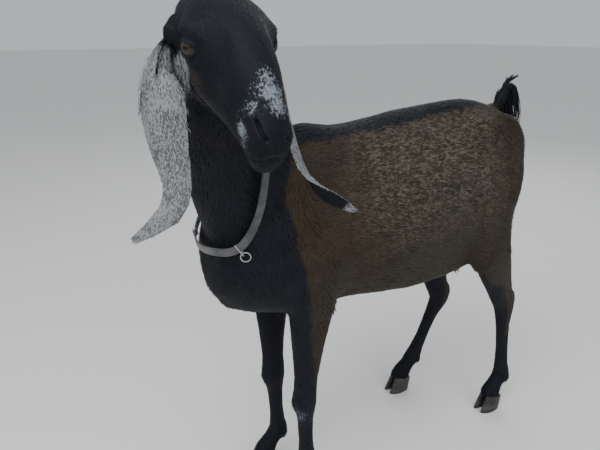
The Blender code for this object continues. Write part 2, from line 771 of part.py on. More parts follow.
def wire_loop(points, radius, count=6):
    """A closed round wire through a loop of world points."""
    middle = sum(points, Vector()) / len(points)
    shell = bmesh.new()
    rows = []
    total = len(points)
    for i, point in enumerate(points):
        tangent = (points[(i + 1) % total] - points[i - 1]).normalized()
        out = point - middle
        out = (out - tangent * out.dot(tangent)).normalized()
        across = tangent.cross(out)
        angles = [2 * math.pi * k / count for k in range(count)]
        rows.append([shell.verts.new(point + (out * math.cos(t) + across * math.sin(t)) * radius) for t in angles])
    for i in range(total):
        row, following = rows[i], rows[(i + 1) % total]
        for k in range(count):
            shell.faces.new((row[k], row[(k + 1) % count], following[(k + 1) % count], following[k]))
    bmesh.ops.recalc_face_normals(shell, faces=shell.faces)
    mesh = bpy.data.meshes.new("wire")
    shell.to_mesh(mesh)
    shell.free()
    return mesh


def rounded_frame(centre, first, second, half_first, half_second, count=16):
    """Points of a rounded rectangle round a centre."""
    points = []
    for k in range(count):
        c, s = superellipse(2 * math.pi * k / count, 5)
        points.append(centre + first * c * half_first + second * s * half_second)
    return points


def strap_metal(points, normals, goat):
    """The keeper with a ring that hangs in it, and the buckle, both round the strap."""
    half = STRAP_THICKNESS / 2
    count = len(points)
    for at, wire, drop, name in ((round(count * 0.47), 0.0014, 0.003, "strap_keeper"),
                                 (round(count * 0.69), 0.0018, 0.0, "strap_buckle")):
        along = (points[(at + 1) % count] - points[at - 1]).normalized()
        out = normals[at]
        across = along.cross(out).normalized()
        across = across if across.z < 0 else -across
        side = STRAP_WIDTH / 2 + wire + 0.0004
        centre = points[at] + out * half + across * drop
        frame = rounded_frame(centre, across, out, side + drop, half + wire + 0.0004)
        add_object(name, wire_loop(frame, wire), goat, "steel")
        if drop:
            radius = 0.0085
            middle = points[at] + out * half + across * (STRAP_WIDTH / 2 + drop + 0.0005 + radius)
            angles = [2 * math.pi * k / 16 for k in range(16)]
            ring = [middle + (across * math.cos(t) + along * math.sin(t)) * radius for t in angles]
            add_object("strap_ring", wire_loop(ring, 0.0014), goat, "steel")


def centre_all(objects):
    """Moves every mesh so that the middle of the whole footprint is the origin."""
    low = [min(v.co[i] for o in objects for v in o.data.vertices) for i in range(2)]
    high = [max(v.co[i] for o in objects for v in o.data.vertices) for i in range(2)]
    shift = Matrix.Translation((-(low[0] + high[0]) / 2, -(low[1] + high[1]) / 2, 0))
    for o in objects:
        o.data.transform(shift)


NECK_BASE = ((0.345, 0.0, 0.665), (0.62, 0.12, 0.77))
HEAD_SEAM = ((0.46, 0.101, 0.955), (0.0, 0.98, 0.20))
LEG_BLOCKS = {
    "fore_left": (((0.02, -0.02), (0.2, -0.02), (0.2, 0.56), (0.02, 0.370)), 0.20, 0.375),
    "fore_right": (((0.018, -0.02), (0.018, 0.360), (-0.02, 0.370), (-0.2, 0.56), (-0.2, -0.02)), 0.20, 0.375),
    "hind_left": (
        ((-0.02, -0.02), (0.2, -0.02), (0.2, 0.62), (0.13, 0.62), (0.050, 0.47), (0.050, 0.36), (-0.02, 0.29)),
        -0.38, -0.090,
    ),
    "hind_right": (
        ((-0.035, -0.02), (-0.035, 0.29), (-0.064, 0.36), (-0.064, 0.47), (-0.14, 0.62), (-0.2, 0.62), (-0.2, -0.02)),
        -0.38, -0.055,
    ),
}


def widened(corners, distance):
    """Corners of a block moved outward by a distance."""
    middle = Vector((sum(c[0] for c in corners), sum(c[1] for c in corners))) / len(corners)
    moved = []
    for i, corner in enumerate(corners):
        before = Vector(corners[i - 1])
        after = Vector(corners[(i + 1) % len(corners)])
        here = Vector(corner)
        first = (here - before).normalized()
        second = (after - here).normalized()
        turned = sum(a[0] * b[1] - a[1] * b[0] for a, b in zip(corners, corners[1:] + corners[:1]))
        sign = 1 if turned > 0 else -1
        out = Vector((first.y + second.y, -first.x - second.x)) * sign
        size = max(1 + first.dot(second), 0.3)
        moved.append(tuple(here + out / size * distance))
    return moved


def main():
    clear_scene()
    goat = collection("nubian_goat")
    flesh = fused_flesh(goat)
    skin = evaluated_mesh(flesh)
    surface = BVHTree.FromObject(flesh, bpy.context.evaluated_depsgraph_get())
    bpy.data.objects.remove(flesh)
    coarse = decimated(skin, BODY_TRIANGLES, goat)

    seam_point, seam_normal = place(*HEAD_SEAM[0]), direction(*HEAD_SEAM[1])
    base_point, base_normal = place(*NECK_BASE[0]), direction(*NECK_BASE[1])
    head_block = slab(seam_point, seam_normal, 0.20, 0.40)
    full_head = largest_body(boolean(skin.copy(), [head_block.copy()], "INTERSECT", goat))
    head_mesh = decimated(full_head, HEAD_TRIANGLES, goat)
    head_mesh = trimmed(head_mesh, seam_point + seam_normal * GAP, -seam_normal)
    additions = [lid_mound(-1), lid_mound(1)]
    head_mesh = boolean(head_mesh, additions, "UNION", goat)
    cutters = [nostril(-1, surface), nostril(1, surface), mouth_line(surface)]
    for side in (-1, 1):
        cutters += [eyeball(side, GAP * 1.2), lid_opening(side)]
    for cutter in cutters:
        head_mesh = boolean(head_mesh, [cutter], "DIFFERENCE", goat)
    head_mesh = largest_body(head_mesh)
    add_object("head", head_mesh, goat, "coat_black")

    wider_block = slab(seam_point - seam_normal * GAP, seam_normal, 0.21, 0.41)
    neck_mesh = trimmed(coarse, base_point, -base_normal)
    neck_mesh = largest_body(boolean(neck_mesh, [wider_block], "DIFFERENCE", goat))
    add_object("neck", neck_mesh, goat, "coat_black")

    torso_mesh = trimmed(coarse, base_point - base_normal * GAP, base_normal)
    blocks = [prism(widened(corners, GAP), back - GAP, front + GAP) for corners, back, front in LEG_BLOCKS.values()]
    torso_mesh = largest_body(boolean(torso_mesh, blocks, "DIFFERENCE", goat))
    add_object("torso", torso_mesh, goat, "coat_brown")

    for name, (corners, back, front) in LEG_BLOCKS.items():
        leg = boolean(coarse.copy(), [prism(corners, back, front)], "INTERSECT", goat)
        leg = largest_body(trimmed(leg, coronet_plane(name)[0], -coronet_plane(name)[1]))
        half, end = name.split("_")
        add_object(half + "leg_" + end, leg, goat, "coat_brown")
        outer = 1 if end == "left" else -1
        add_object("claw_" + name + "_outer", claw(name, outer), goat, "horn")
        add_object("claw_" + name + "_inner", claw(name, -outer), goat, "horn")

    around_head = grown(full_head, GAP * 3, goat)
    for end, side in (("left", 1), ("right", -1)):
        around_lids = grown(lid_mound(side), GAP * 3, goat)
        leaf = boolean(ear(side), [around_head.copy(), around_lids], "DIFFERENCE", goat)
        add_object("ear_" + end, largest_body(leaf), goat, "ear_roan")
        add_object("eye_" + end, eyeball(side), goat, "eye_amber")

    pieces = tail(TAIL_LOCKS)
    tail_mesh = boolean(pieces[0], pieces[1:], "UNION", goat, "MANIFOLD")
    rump = grown(torso_mesh, GAP, goat)
    tail_mesh = largest_body(boolean(tail_mesh, [rump], "DIFFERENCE", goat, "MANIFOLD"))
    add_object("tail", tail_mesh, goat, "coat_black")

    loop, out = strap_loop(surface, 0.0100)
    add_object("strap", ring_bar(loop, out, STRAP_WIDTH, STRAP_THICKNESS), goat, "strap_grey")
    strap_metal(loop, out, goat)
    centre_all(list(goat.objects))


main()
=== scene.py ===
# A standing long-eared goat: skin, short coat, eyes, claws and neck strap.
import math

import bmesh
import bpy
import numpy as np
from mathutils import Matrix, Vector
from mathutils.bvhtree import BVHTree


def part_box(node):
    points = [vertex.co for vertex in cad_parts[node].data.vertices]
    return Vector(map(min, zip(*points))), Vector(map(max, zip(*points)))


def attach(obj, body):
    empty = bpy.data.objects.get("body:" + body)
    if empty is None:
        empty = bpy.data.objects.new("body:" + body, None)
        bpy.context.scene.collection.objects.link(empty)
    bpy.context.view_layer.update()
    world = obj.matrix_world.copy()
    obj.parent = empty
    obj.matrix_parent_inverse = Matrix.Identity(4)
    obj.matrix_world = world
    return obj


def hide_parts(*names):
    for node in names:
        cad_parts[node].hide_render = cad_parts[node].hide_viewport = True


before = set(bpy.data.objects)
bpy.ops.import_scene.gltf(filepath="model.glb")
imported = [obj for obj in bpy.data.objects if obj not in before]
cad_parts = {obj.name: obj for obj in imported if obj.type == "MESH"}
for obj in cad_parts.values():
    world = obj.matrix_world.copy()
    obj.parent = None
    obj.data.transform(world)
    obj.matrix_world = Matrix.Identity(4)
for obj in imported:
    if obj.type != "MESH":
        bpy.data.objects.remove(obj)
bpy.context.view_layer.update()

# Places are written as forward, left and up, in metres, as seen from the goat.
headPose = {
    "pitch": math.radians(28),   # the nose points this far below level
    "brow": (0.4585, 0.19, 0.893),   # middle between the eyes
    "eyeAhead": 0.004,
    "eyeRadius": 0.0145,
}


def boxMiddle(node):
    low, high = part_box(node)
    return (Vector(low) + Vector(high)) / 2


eyeCentres = {1: boxMiddle("eye_left"), -1: boxMiddle("eye_right")}
headSide = (eyeCentres[1] - eyeCentres[-1]).normalized()
headFlat = headSide.cross(Vector((0, 0, 1))).normalized()
headAxis = headFlat * math.cos(headPose["pitch"]) - Vector((0, 0, 1)) * math.sin(headPose["pitch"])
headUp = headAxis.cross(headSide).normalized()
brow = (eyeCentres[1] + eyeCentres[-1]) / 2 - headAxis * headPose["eyeAhead"]
shiftX = brow.x - headPose["brow"][1]   # from the goat's own middle to the frame's
shiftY = brow.y + headPose["brow"][0]


def at(forward, left, up):
    return Vector((left + shiftX, shiftY - forward, up))


def onHead(along, side, up):
    return brow + headAxis * along + headSide * side + headUp * up


def towards(forward, left, up):
    return Vector((left, -forward, up)).normalized()


# Meshes and modifiers

def newPiece(name, mesh):
    piece = bpy.data.objects.new(name, mesh)
    bpy.context.scene.collection.objects.link(piece)
    return piece


def meshFrom(bm, name):
    mesh = bpy.data.meshes.new(name)
    bm.to_mesh(mesh)
    bm.free()
    return mesh


def baked(piece):
    # the mesh that the modifiers leave, on the same object
    graph = bpy.context.evaluated_depsgraph_get()
    mesh = bpy.data.meshes.new_from_object(piece.evaluated_get(graph))
    piece.modifiers.clear()
    piece.data = mesh
    return piece


def modifier(piece, kind, **settings):
    made = piece.modifiers.new(kind.lower(), kind)
    for name, value in settings.items():
        setattr(made, name, value)
    return made


def coordinates(mesh):
    flat = np.empty(len(mesh.vertices) * 3)
    mesh.vertices.foreach_get("co", flat)
    return flat.reshape(-1, 3)


def normalsOf(mesh):
    flat = np.empty(len(mesh.vertices) * 3)
    mesh.vertex_normals.foreach_get("vector", flat)
    return flat.reshape(-1, 3)


def writeCoordinates(mesh, points):
    mesh.vertices.foreach_set("co", points.ravel())
    mesh.update()


def smoothStep(low, high, value):
    t = np.clip((value - low) / (high - low), 0, 1)
    return t * t * (3 - 2 * t)


def unit(vectors):
    return vectors / np.maximum(np.linalg.norm(vectors, axis=1, keepdims=True), 1e-9)


def goatPlaces(points):
    # forward, left and up of world points
    return shiftY - points[:, 1], points[:, 0] - shiftX, points[:, 2]


def headPlaces(points):
    away = points - np.array(brow)
    return away @ np.array(headAxis), away @ np.array(headSide), away @ np.array(headUp)


def distanceToLine(points, line):
    # distance to a line through several places, and how far along it, from 0 to 1
    best = np.full(len(points), 1e9)
    share = np.zeros(len(points))
    count = len(line) - 1
    for i in range(count):
        start, end = np.array(line[i]), np.array(line[i + 1])
        run = end - start
        t = np.clip((points - start) @ run / (run @ run), 0, 1)
        away = np.linalg.norm(points - start - t[:, None] * run, axis=1)
        nearer = away < best
        best = np.where(nearer, away, best)
        share = np.where(nearer, (i + t) / count, share)
    return best, share


def placesAt(steps, places):
    # the place at each step, counted in places, along a list of them
    stations = np.arange(len(places))
    return np.stack([np.interp(steps, stations, [place[k] for place in places]) for k in range(3)], axis=1)


def runsAt(ahead, places):
    return placesAt(ahead, places) - placesAt(ahead - 1, places)


def relax(bm, near, times):
    for _ in range(times):
        bmesh.ops.smooth_vert(
            bm, verts=near, factor=0.5, use_axis_x=True, use_axis_y=True, use_axis_z=True,
        )


def nodeCopy(node, grow=0.0):
    bm = bmesh.new()
    bm.from_mesh(bpy.data.objects[node].data)
    bmesh.ops.remove_doubles(bm, verts=bm.verts, dist=1e-5)
    bm.normal_update()
    if grow:
        for v in bm.verts:
            v.co += v.normal * grow
    return bm


def keepLargest(bm):
    left = set(bm.faces)
    shells = []
    while left:
        shell = [left.pop()]
        for face in shell:
            for edge in face.edges:
                for other in edge.link_faces:
                    if other in left:
                        left.discard(other)
                        shell.append(other)
        shells.append(shell)
    shells.sort(key=len)
    for shell in shells[:-1]:
        bmesh.ops.delete(bm, geom=shell, context="FACES")


# Skin
skinSizes = {
    "voxel": 0.003,
    "triangles": 100000,
    "trunkSmoothing": 60,
    "overallSmoothing": 10,
    "earVoxel": 0.0014,
    "earTriangles": 14000,
    "grow": 0.0006,
}
fleshNodes = ["torso", "neck", "head", "foreleg_left", "foreleg_right", "hindleg_left", "hindleg_right"]
earRoots = {1: (0.412, 0.158, 0.921), -1: (0.504, 0.153, 0.919)}
throat, throatLie = (0.46, 0.101, 0.955), (0.0, 0.98, 0.20)   # where the head meets the neck, and its lie
dockLine = [(-0.236, 0, 0.735), (-0.262, 0, 0.762), (-0.276, 0, 0.786), (-0.280, 0, 0.800)]


def addBall(bm, centre, radii, turn=Matrix()):
    made = bmesh.ops.create_uvsphere(bm, u_segments=24, v_segments=16, radius=1)
    place = Matrix.Translation(centre) @ turn.to_4x4() @ Matrix.Diagonal((*radii, 1))
    bmesh.ops.transform(bm, matrix=place, verts=made["verts"])


def joinedFlesh():
    whole = bmesh.new()
    for node in fleshNodes:
        part = nodeCopy(node, skinSizes["grow"])
        whole.from_mesh(meshFrom(part, node + "Copy"))
    for centre in eyeCentres.values():
        size = headPose["eyeRadius"] + 0.0008
        addBall(whole, centre, (size, size, size))
    for side in (1, -1):
        # the broad root of each ear, high on the side of the head
        addBall(whole, onHead(-0.043, side * 0.052, 0.004), (0.014, 0.014, 0.015))
        addBall(whole, onHead(-0.039, side * 0.060, -0.005), (0.013, 0.012, 0.015))
    radii = (0.017, 0.0145, 0.0115, 0.007)
    for place, radius in zip(dockLine, radii):
        addBall(whole, at(*place), (radius, radius, radius * 1.6))
    return meshFrom(whole, "flesh")


def makeBody():
    body = newPiece("skin", joinedFlesh())
    modifier(body, "REMESH", mode="VOXEL", voxel_size=skinSizes["voxel"])
    baked(body)
    trunk = body.vertex_groups.new(name="trunk")
    places = coordinates(body.data)
    headward = (places - np.array(at(*throat))) @ np.array(towards(*throatLie))
    weights = smoothStep(0.42, 0.52, places[:, 2]) * smoothStep(0.0, 0.05, -headward)
    for i, weight in enumerate(weights):
        if weight > 0.01:
            trunk.add([i], float(weight), "REPLACE")
    modifier(body, "SMOOTH", factor=0.5, iterations=skinSizes["overallSmoothing"])
    modifier(body, "SMOOTH", factor=0.5, iterations=skinSizes["trunkSmoothing"], vertex_group="trunk")
    baked(body)
    body.data.calc_loop_triangles()
    modifier(body, "DECIMATE", ratio=skinSizes["triangles"] / len(body.data.loop_triangles))
    baked(body)
    bm = bmesh.new()
    bm.from_mesh(body.data)
    keepLargest(bm)
    bmesh.ops.triangulate(bm, faces=bm.faces)
    body.data = meshFrom(bm, "skin")
    return body


def makeEar(node):
    ear = newPiece(node + "Skin", meshFrom(nodeCopy(node), node))
    modifier(ear, "REMESH", mode="VOXEL", voxel_size=skinSizes["earVoxel"])
    modifier(ear, "SMOOTH", factor=0.5, iterations=7)
    baked(ear)
    ear.data.calc_loop_triangles()
    modifier(ear, "DECIMATE", ratio=skinSizes["earTriangles"] / len(ear.data.loop_triangles))
    return baked(ear)


def joinEars(body):
    rootSink = {1: towards(0.25, 0, 0.9), -1: towards(-0.25, 0, 0.9)}
    for side, node in ((1, "ear_left"), (-1, "ear_right")):
        ear = makeEar(node)
        # the root is pulled a little into the head, so that the two skins overlap
        root = np.array(at(*earRoots[side]))
        places = coordinates(ear.data)
        near = smoothStep(0.05, 0.0, np.linalg.norm(places - root, axis=1))
        inward = np.array((boxMiddle("head") - at(*earRoots[side])).normalized())
        places += near[:, None] * (inward * 0.012 + np.array(rootSink[side]) * 0.002)
        # its front edge turns back near the top, which leaves the cheek below the eye free
        share, across, _ = earPlaces(places)
        turned = smoothStep(0.37, 0.27, share) * smoothStep(0.002, -0.010, across * -side)
        places -= (turned * 0.013 * side)[:, None] * np.array(towards(*earWides[side][1]))
        writeCoordinates(ear.data, places)
        modifier(body, "BOOLEAN", object=ear, operation="UNION", solver="MANIFOLD")
        baked(body)
        bpy.data.objects.remove(ear)
    bm = bmesh.new()
    bm.from_mesh(body.data)
    keepLargest(bm)
    for side in (1, -1):
        root = at(*earRoots[side])
        relax(bm, [v for v in bm.verts if (v.co - root).length < 0.030], 5)
    body.data = meshFrom(bm, "skin")
    return body


def refineHead(body):
    # finer faces on the muzzle and round the eyes
    zones = [(onHead(0.135, 0, -0.045), 0.052, 2), (eyeCentres[1], 0.030, 2), (eyeCentres[-1], 0.030, 2)]
    for centre, reach, times in zones:
        for step in range(times):
            bm = bmesh.new()
            bm.from_mesh(body.data)
            limit = reach - step * 0.006
            edges = [e for e in bm.edges if ((e.verts[0].co + e.verts[1].co) / 2 - centre).length < limit]
            bmesh.ops.subdivide_edges(bm, edges=edges, cuts=1)
            bmesh.ops.triangulate(bm, faces=[f for f in bm.faces if len(f.verts) > 3])
            relax(bm, [v for v in bm.verts if (v.co - centre).length < limit], 2)
            body.data = meshFrom(bm, "skin")
    return body


lidSizes = {
    "halfLength": 0.0118,
    "upper": 0.0074,
    "lower": 0.0054,
    "slant": 0.16,
    "thick": 0.0024,
    "reach": 0.0085,
}


def eyeFrame(side):
    # along, up and outward: the eyes look somewhat forward and a little up
    out = (headSide * side * 0.92 + headAxis * 0.36 + headUp * 0.10).normalized()
    along = (headAxis - out * out.dot(headAxis)).normalized()
    return along, out.cross(along) * side, out


def sculptEye(points, side):
    centre = np.array(eyeCentres[side])
    radius = headPose["eyeRadius"]
    along, up, outward = (np.array(v) for v in eyeFrame(side))
    away = points - centre
    size = np.linalg.norm(away, axis=1)
    turned = away / np.maximum(size, 1e-6)[:, None]
    x = turned @ along * radius
    y = turned @ up * radius + x * lidSizes["slant"]
    out = turned @ outward
    long = lidSizes["halfLength"]
    arch = np.sqrt(np.clip(1 - (x / long) ** 2, 0, 1))
    half = np.where(y > 0, lidSizes["upper"], lidSizes["lower"])
    rim = np.where(
        np.abs(x) < long, np.abs(y) - half * arch, np.hypot(np.abs(x) - long, y),
    )
    lid = radius + 0.0004 + lidSizes["thick"] * (1 - np.exp(-np.clip(rim, 0, 1) / 0.0016))
    fold = np.where(y > 0, 0.0012, 0.0007) * np.exp(-((rim - 0.0040) / 0.0011) ** 2)
    fold = fold + 0.0006 * np.exp(-((rim - 0.0068) / 0.0012) ** 2)
    lid = lid - fold * smoothStep(0.2, 0.5, out)
    sunk = radius - 0.0016
    wanted = np.where(rim > 0, lid, sunk + (radius + 0.0004 - sunk) * smoothStep(-0.0007, 0.0, rim))
    blend = smoothStep(lidSizes["reach"], lidSizes["reach"] * 0.45, rim)
    blend = blend * smoothStep(0.15, 0.45, out) * (size < 0.032)
    return centre + turned * (size + (wanted - size) * blend)[:, None]


def carve(points, normals, line, width, depth, taper=0.0):
    # a groove along a line, or a ridge where the depth is negative
    away, share = distanceToLine(points, line)
    fade = np.where(taper > 0, smoothStep(0, max(taper, 1e-3), np.minimum(share, 1 - share)), 1.0)
    return points - normals * (depth * fade * np.exp(-(away / width) ** 2))[:, None]


def onSkin(surface, inside, outward):
    hit = surface.ray_cast(inside + outward * 0.09, -outward)[0]
    return hit if hit else inside + outward * 0.02


def mouthLine(surface):
    places = []
    for k in range(-12, 13):
        share = abs(k) / 12
        side = math.copysign(1, k) if k else 0
        along = 0.153 - 0.075 * share ** 1.7
        up = -0.0560 - 0.0085 * math.sin(math.pi * share) - 0.004 * share
        spread = math.sin(min(share * 1.5, 1.0) * math.pi / 2)
        outward = (headAxis * (1 - spread) + headSide * side * spread).normalized()
        places.append(onSkin(surface, onHead(along - 0.03 * (1 - spread), 0, up), outward))
    return places


def nostrilLine(surface, side):
    # along, sideways and up in the head, and how far each place is cast sideways
    steps = (
        (0.122, 0.0155, -0.0185, 0.75), (0.128, 0.0145, -0.0195, 0.72), (0.133, 0.0125, -0.0230, 0.66),
        (0.136, 0.0095, -0.0275, 0.55), (0.137, 0.0062, -0.0325, 0.42), (0.136, 0.0040, -0.0365, 0.30),
    )
    places = []
    for along, out, up, spread in steps:
        outward = (headAxis * 0.75 + headSide * side * spread + headUp * 0.15).normalized()
        places.append(onSkin(surface, onHead(along, side * out, up), outward))
    return places


def sculptFace(points):
    # the bridge of the nose draws in below the eyes, and the brows stand out over them
    along, side, high = headPlaces(points)
    near = smoothStep(0.10, 0.08, np.abs(side)) * smoothStep(0.72, 0.76, points[:, 2])
    draw = np.exp(-((along - 0.048) / 0.024) ** 2) * smoothStep(-0.070, -0.030, high) * near
    brows = np.exp(-(((along + 0.002) / 0.014) ** 2 + ((high - 0.017) / 0.011) ** 2)) * near
    shift = np.sign(side) * smoothStep(0.018, 0.040, np.abs(side)) * (0.0030 * brows - 0.0065 * draw)
    return points + shift[:, None] * np.array(headSide)


def sculptHead(body):
    mesh = body.data
    writeCoordinates(mesh, sculptFace(coordinates(mesh)))
    for side in (1, -1):
        writeCoordinates(mesh, sculptEye(coordinates(mesh), side))
    surface = BVHTree.FromObject(body, bpy.context.evaluated_depsgraph_get())
    mouth = mouthLine(surface)
    nostrils = {side: nostrilLine(surface, side) for side in (1, -1)}
    points, normals = coordinates(mesh), normalsOf(mesh)
    points = carve(points, normals, mouth, 0.0017, 0.0034)
    for side in (1, -1):
        points = carve(points, normals, nostrils[side], 0.0075, -0.0012, 0.3)   # the wing round the slit
        points = carve(points, normals, nostrils[side], 0.0023, 0.0070, 0.15)
        tear = [onSkin(surface, onHead(0.019, side * 0.03, -0.004), headSide * side),
                onSkin(surface, onHead(0.032, side * 0.02, -0.014), headSide * side)]
        points = carve(points, normals, tear, 0.0028, 0.0014, 0.3)
    cleft = [onSkin(surface, onHead(0.12, 0, up), headAxis) for up in (-0.036, -0.044, -0.052)]
    points = carve(points, normals, cleft, 0.0014, 0.0018, 0.2)
    writeCoordinates(mesh, points)
    return {"mouth": mouth, "nostrils": nostrils}


def coatDepth(points):
    # how deep the skin lies under the solids, so that the hair reaches their surface
    up = points[:, 2]
    along, side, _ = headPlaces(points)
    head = smoothStep(-0.10, -0.02, along) * (np.abs(side) < 0.12) * smoothStep(0.70, 0.74, up)
    low = smoothStep(0.35, 0.20, up)
    ears = smoothStep(0.02, 0.0, earAwayness(points))
    return 0.0034 - 0.0027 * np.maximum(head, ears) - 0.0019 * low * (1 - head)


earLines = {
    -1: [(0.504, 0.153, 0.919), (0.527, 0.154, 0.900), (0.541, 0.153, 0.862), (0.541, 0.152, 0.812),
         (0.535, 0.154, 0.758), (0.528, 0.156, 0.712), (0.540, 0.149, 0.672), (0.584, 0.124, 0.636)],
    1: [(0.412, 0.158, 0.921), (0.397, 0.163, 0.902), (0.379, 0.174, 0.856), (0.370, 0.178, 0.804),
        (0.359, 0.186, 0.752), (0.345, 0.193, 0.714), (0.318, 0.208, 0.684), (0.286, 0.227, 0.660)],
}
# across each ear, at the same places as its line
earWides = {
    -1: [(0.15, -0.9, 0.35), (0.5, -0.8, 0.2), (0.7, -0.7, 0), (0.76, -0.65, 0),
         (0.78, -0.6, 0), (0.72, -0.45, 0.3), (0.5, -0.2, 0.7), (0.35, -0.1, 0.85)],
    1: [(-0.1, 0.9, -0.35), (0.1, 0.95, -0.1), (0.4, 0.9, 0), (0.5, 0.86, 0),
        (0.55, 0.8, 0.1), (0.6, 0.5, 0.5), (0.5, 0.2, 0.8), (0.45, 0.1, 0.85)],
}


def earAwayness(points):
    # nothing on an ear's own skin, and more away from it
    best = np.full(len(points), 1.0)
    for line in earLines.values():
        away, share = distanceToLine(points, [at(*place) for place in line])
        best = np.minimum(best, np.maximum(away - 0.030, 0) + smoothStep(0.12, 0.02, share) * 0.02)
    return best


def earPlaces(points):
    # share along the nearer ear, distance across it, and the direction that its inner face looks in
    best = np.full(len(points), 1e9)
    share, across, inner = np.zeros(len(points)), np.zeros(len(points)), np.zeros((len(points), 3))
    for side, line in earLines.items():
        line = [at(*place) for place in line]
        away, along = distanceToLine(points, line)
        steps = along * (len(line) - 1)
        wide = unit(placesAt(steps, [towards(*w) for w in earWides[side]]))
        centre = placesAt(steps, line)
        run = runsAt(np.minimum(steps + 0.5, len(line) - 1), line)
        nearer = away < best
        best = np.where(nearer, away, best)
        share = np.where(nearer, along, share)
        across = np.where(nearer, np.sum((points - centre) * wide, axis=1), across)
        inner = np.where(nearer[:, None], unit(np.cross(run, wide)), inner)
    return share, across, inner


print("skin: joining the flesh")
skin = makeBody()
print("skin: ears")
joinEars(skin)
print("skin: head")
refineHead(skin)
features = sculptHead(skin)
skinPoints = coordinates(skin.data)
writeCoordinates(skin.data, skinPoints - normalsOf(skin.data) * coatDepth(skinPoints)[:, None])
skin.data.shade_smooth()
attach(skin, "root")
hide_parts(*fleshNodes, "ear_left", "ear_right", "tail")
skin.data.calc_loop_triangles()
print("skin triangles", len(skin.data.loop_triangles))

# Markings: how black, white, tan or frosted each place of the coat is

def band(value, low, high, soft):
    # 1 between low and high, fading over soft at both ends
    return smoothStep(low - soft, low + soft, value) * smoothStep(high + soft, high - soft, value)


def spot(points, centre, radius, soft):
    away = np.linalg.norm(points - np.array(centre), axis=1)
    return smoothStep(radius + soft, radius - soft, away)


earHalfWidths = [
    (0, 0.010), (0.15, 0.012), (0.3, 0.019), (0.45, 0.026),
    (0.6, 0.024), (0.75, 0.019), (0.9, 0.013), (1, 0.006),
]


def earReach(share):
    # half the width of an ear along its length
    shares, halves = zip(*earHalfWidths)
    return np.interp(share, shares, halves)


# white hairs on the nose, over one nostril and on one lip:
# along, sideways and up on the head, how white, radius, and how soft the edge is
whitePatches = (
    (0.102, -0.001, 0.013, 0.85, 0.010, 0.011), (0.114, 0.000, 0.003, 1.00, 0.013, 0.011),
    (0.126, 0.005, -0.008, 0.90, 0.012, 0.011), (0.119, -0.018, -0.012, 0.85, 0.008, 0.010),
    (0.110, -0.010, 0.004, 0.60, 0.010, 0.011), (0.123, -0.008, -0.012, 0.55, 0.007, 0.010),
    (0.120, -0.027, -0.041, 0.95, 0.010, 0.010), (0.128, -0.021, -0.043, 0.70, 0.007, 0.010),
    (0.126, -0.024, -0.052, 0.60, 0.008, 0.012), (0.112, -0.029, -0.028, 0.40, 0.008, 0.012),
    (0.120, 0.026, -0.045, 0.55, 0.010, 0.012),
)
markSizes = {
    "neckEdge": 0.300,    # the black of the neck starts this far forward
    "crest": 0.735,       # and the black of the back this high
    "bellyTop": 0.435,
    "legTop": 0.40,
    "kneePatch": (0.310, 0.086, 0.215),
    "pasternPatch": (0.300, 0.090, 0.110),
}


def blackOfBody(points):
    # neck, breast and a stripe down the back, with the fronts and lower ends of the legs
    forward, left, up = goatPlaces(points)
    neckEdge = markSizes["neckEdge"] + 0.14 * (up - 0.52) - 0.30 * np.clip(up - 0.66, 0, 1)
    neck = smoothStep(-0.022, 0.022, forward - neckEdge)
    crest = markSizes["crest"] + 0.035 * smoothStep(0.25, -0.20, forward)
    stripe = smoothStep(-0.016, 0.014, up - crest + 0.20 * np.abs(left)) * (forward > -0.40)
    bellyTop = markSizes["bellyTop"]
    belly = smoothStep(bellyTop, bellyTop - 0.04, up) * (forward > -0.22) * (np.abs(left) < 0.09)
    legs = smoothStep(markSizes["legTop"], markSizes["legTop"] - 0.06, up)
    front = np.zeros(len(points))
    for name, column in legLines.items():
        away, _ = distanceToLine(points, [at(*place) for place in column])
        middle = np.interp(up, [p[2] for p in column][::-1], [p[0] for p in column][::-1])
        inside = smoothStep(0.06, 0.045, away) * legs
        front = np.maximum(front, inside * smoothStep(0.0, 0.010, forward - middle))
        front = np.maximum(front, inside * smoothStep(0.115, 0.085, up) * 0.9)
        if name.startswith("hind"):
            front = np.maximum(front, inside * smoothStep(0.26, 0.18, up) * 0.85)
    tail = smoothStep(-0.225, -0.245, forward) * smoothStep(0.735, 0.76, up)
    return np.clip(np.maximum.reduce([neck, stripe, belly * 0.6, front, tail]), 0, 1), stripe


def tanOfFace(points):
    # below the eye and along the jaw
    tan = np.zeros(len(points))
    for s in (1, -1):
        tan = np.maximum(tan, 0.78 * spot(points, onHead(0.002, s * 0.055, -0.026), 0.012, 0.011))
        tan = np.maximum(tan, 0.60 * spot(points, onHead(0.018, s * 0.050, -0.036), 0.010, 0.014))
        jaw = [onHead(0.0, s * 0.055, -0.055), onHead(0.095, s * 0.034, -0.078)]
        away, _ = distanceToLine(points, jaw)
        tan = np.maximum(tan, 0.22 * smoothStep(0.030, 0.006, away))
    return tan


def whiteHairs(points, head):
    white = np.zeros(len(points))
    for alongNose, sideways, upward, amount, radius, soft in whitePatches:
        white = np.maximum(white, amount * spot(points, onHead(alongNose, sideways, upward), radius, soft))
    knee = spot(points, at(*markSizes["kneePatch"]), 0.022, 0.018)
    knee = np.maximum(knee, 0.8 * spot(points, at(*markSizes["pasternPatch"]), 0.016, 0.016))
    return np.maximum(white * head, knee * 0.55)


def frostOfFlank(points, stripe, body):
    # grey frosting of the tips
    forward, _, up = goatPlaces(points)
    frost = smoothStep(0.25, 0.12, forward) * smoothStep(-0.21, -0.11, forward)
    frost = frost * smoothStep(0.48, 0.63, up) * (1 - stripe) * body
    return np.maximum(frost, 0.35 * smoothStep(0.28, 0.20, forward) * band(up, 0.62, 0.70, 0.05) * body)


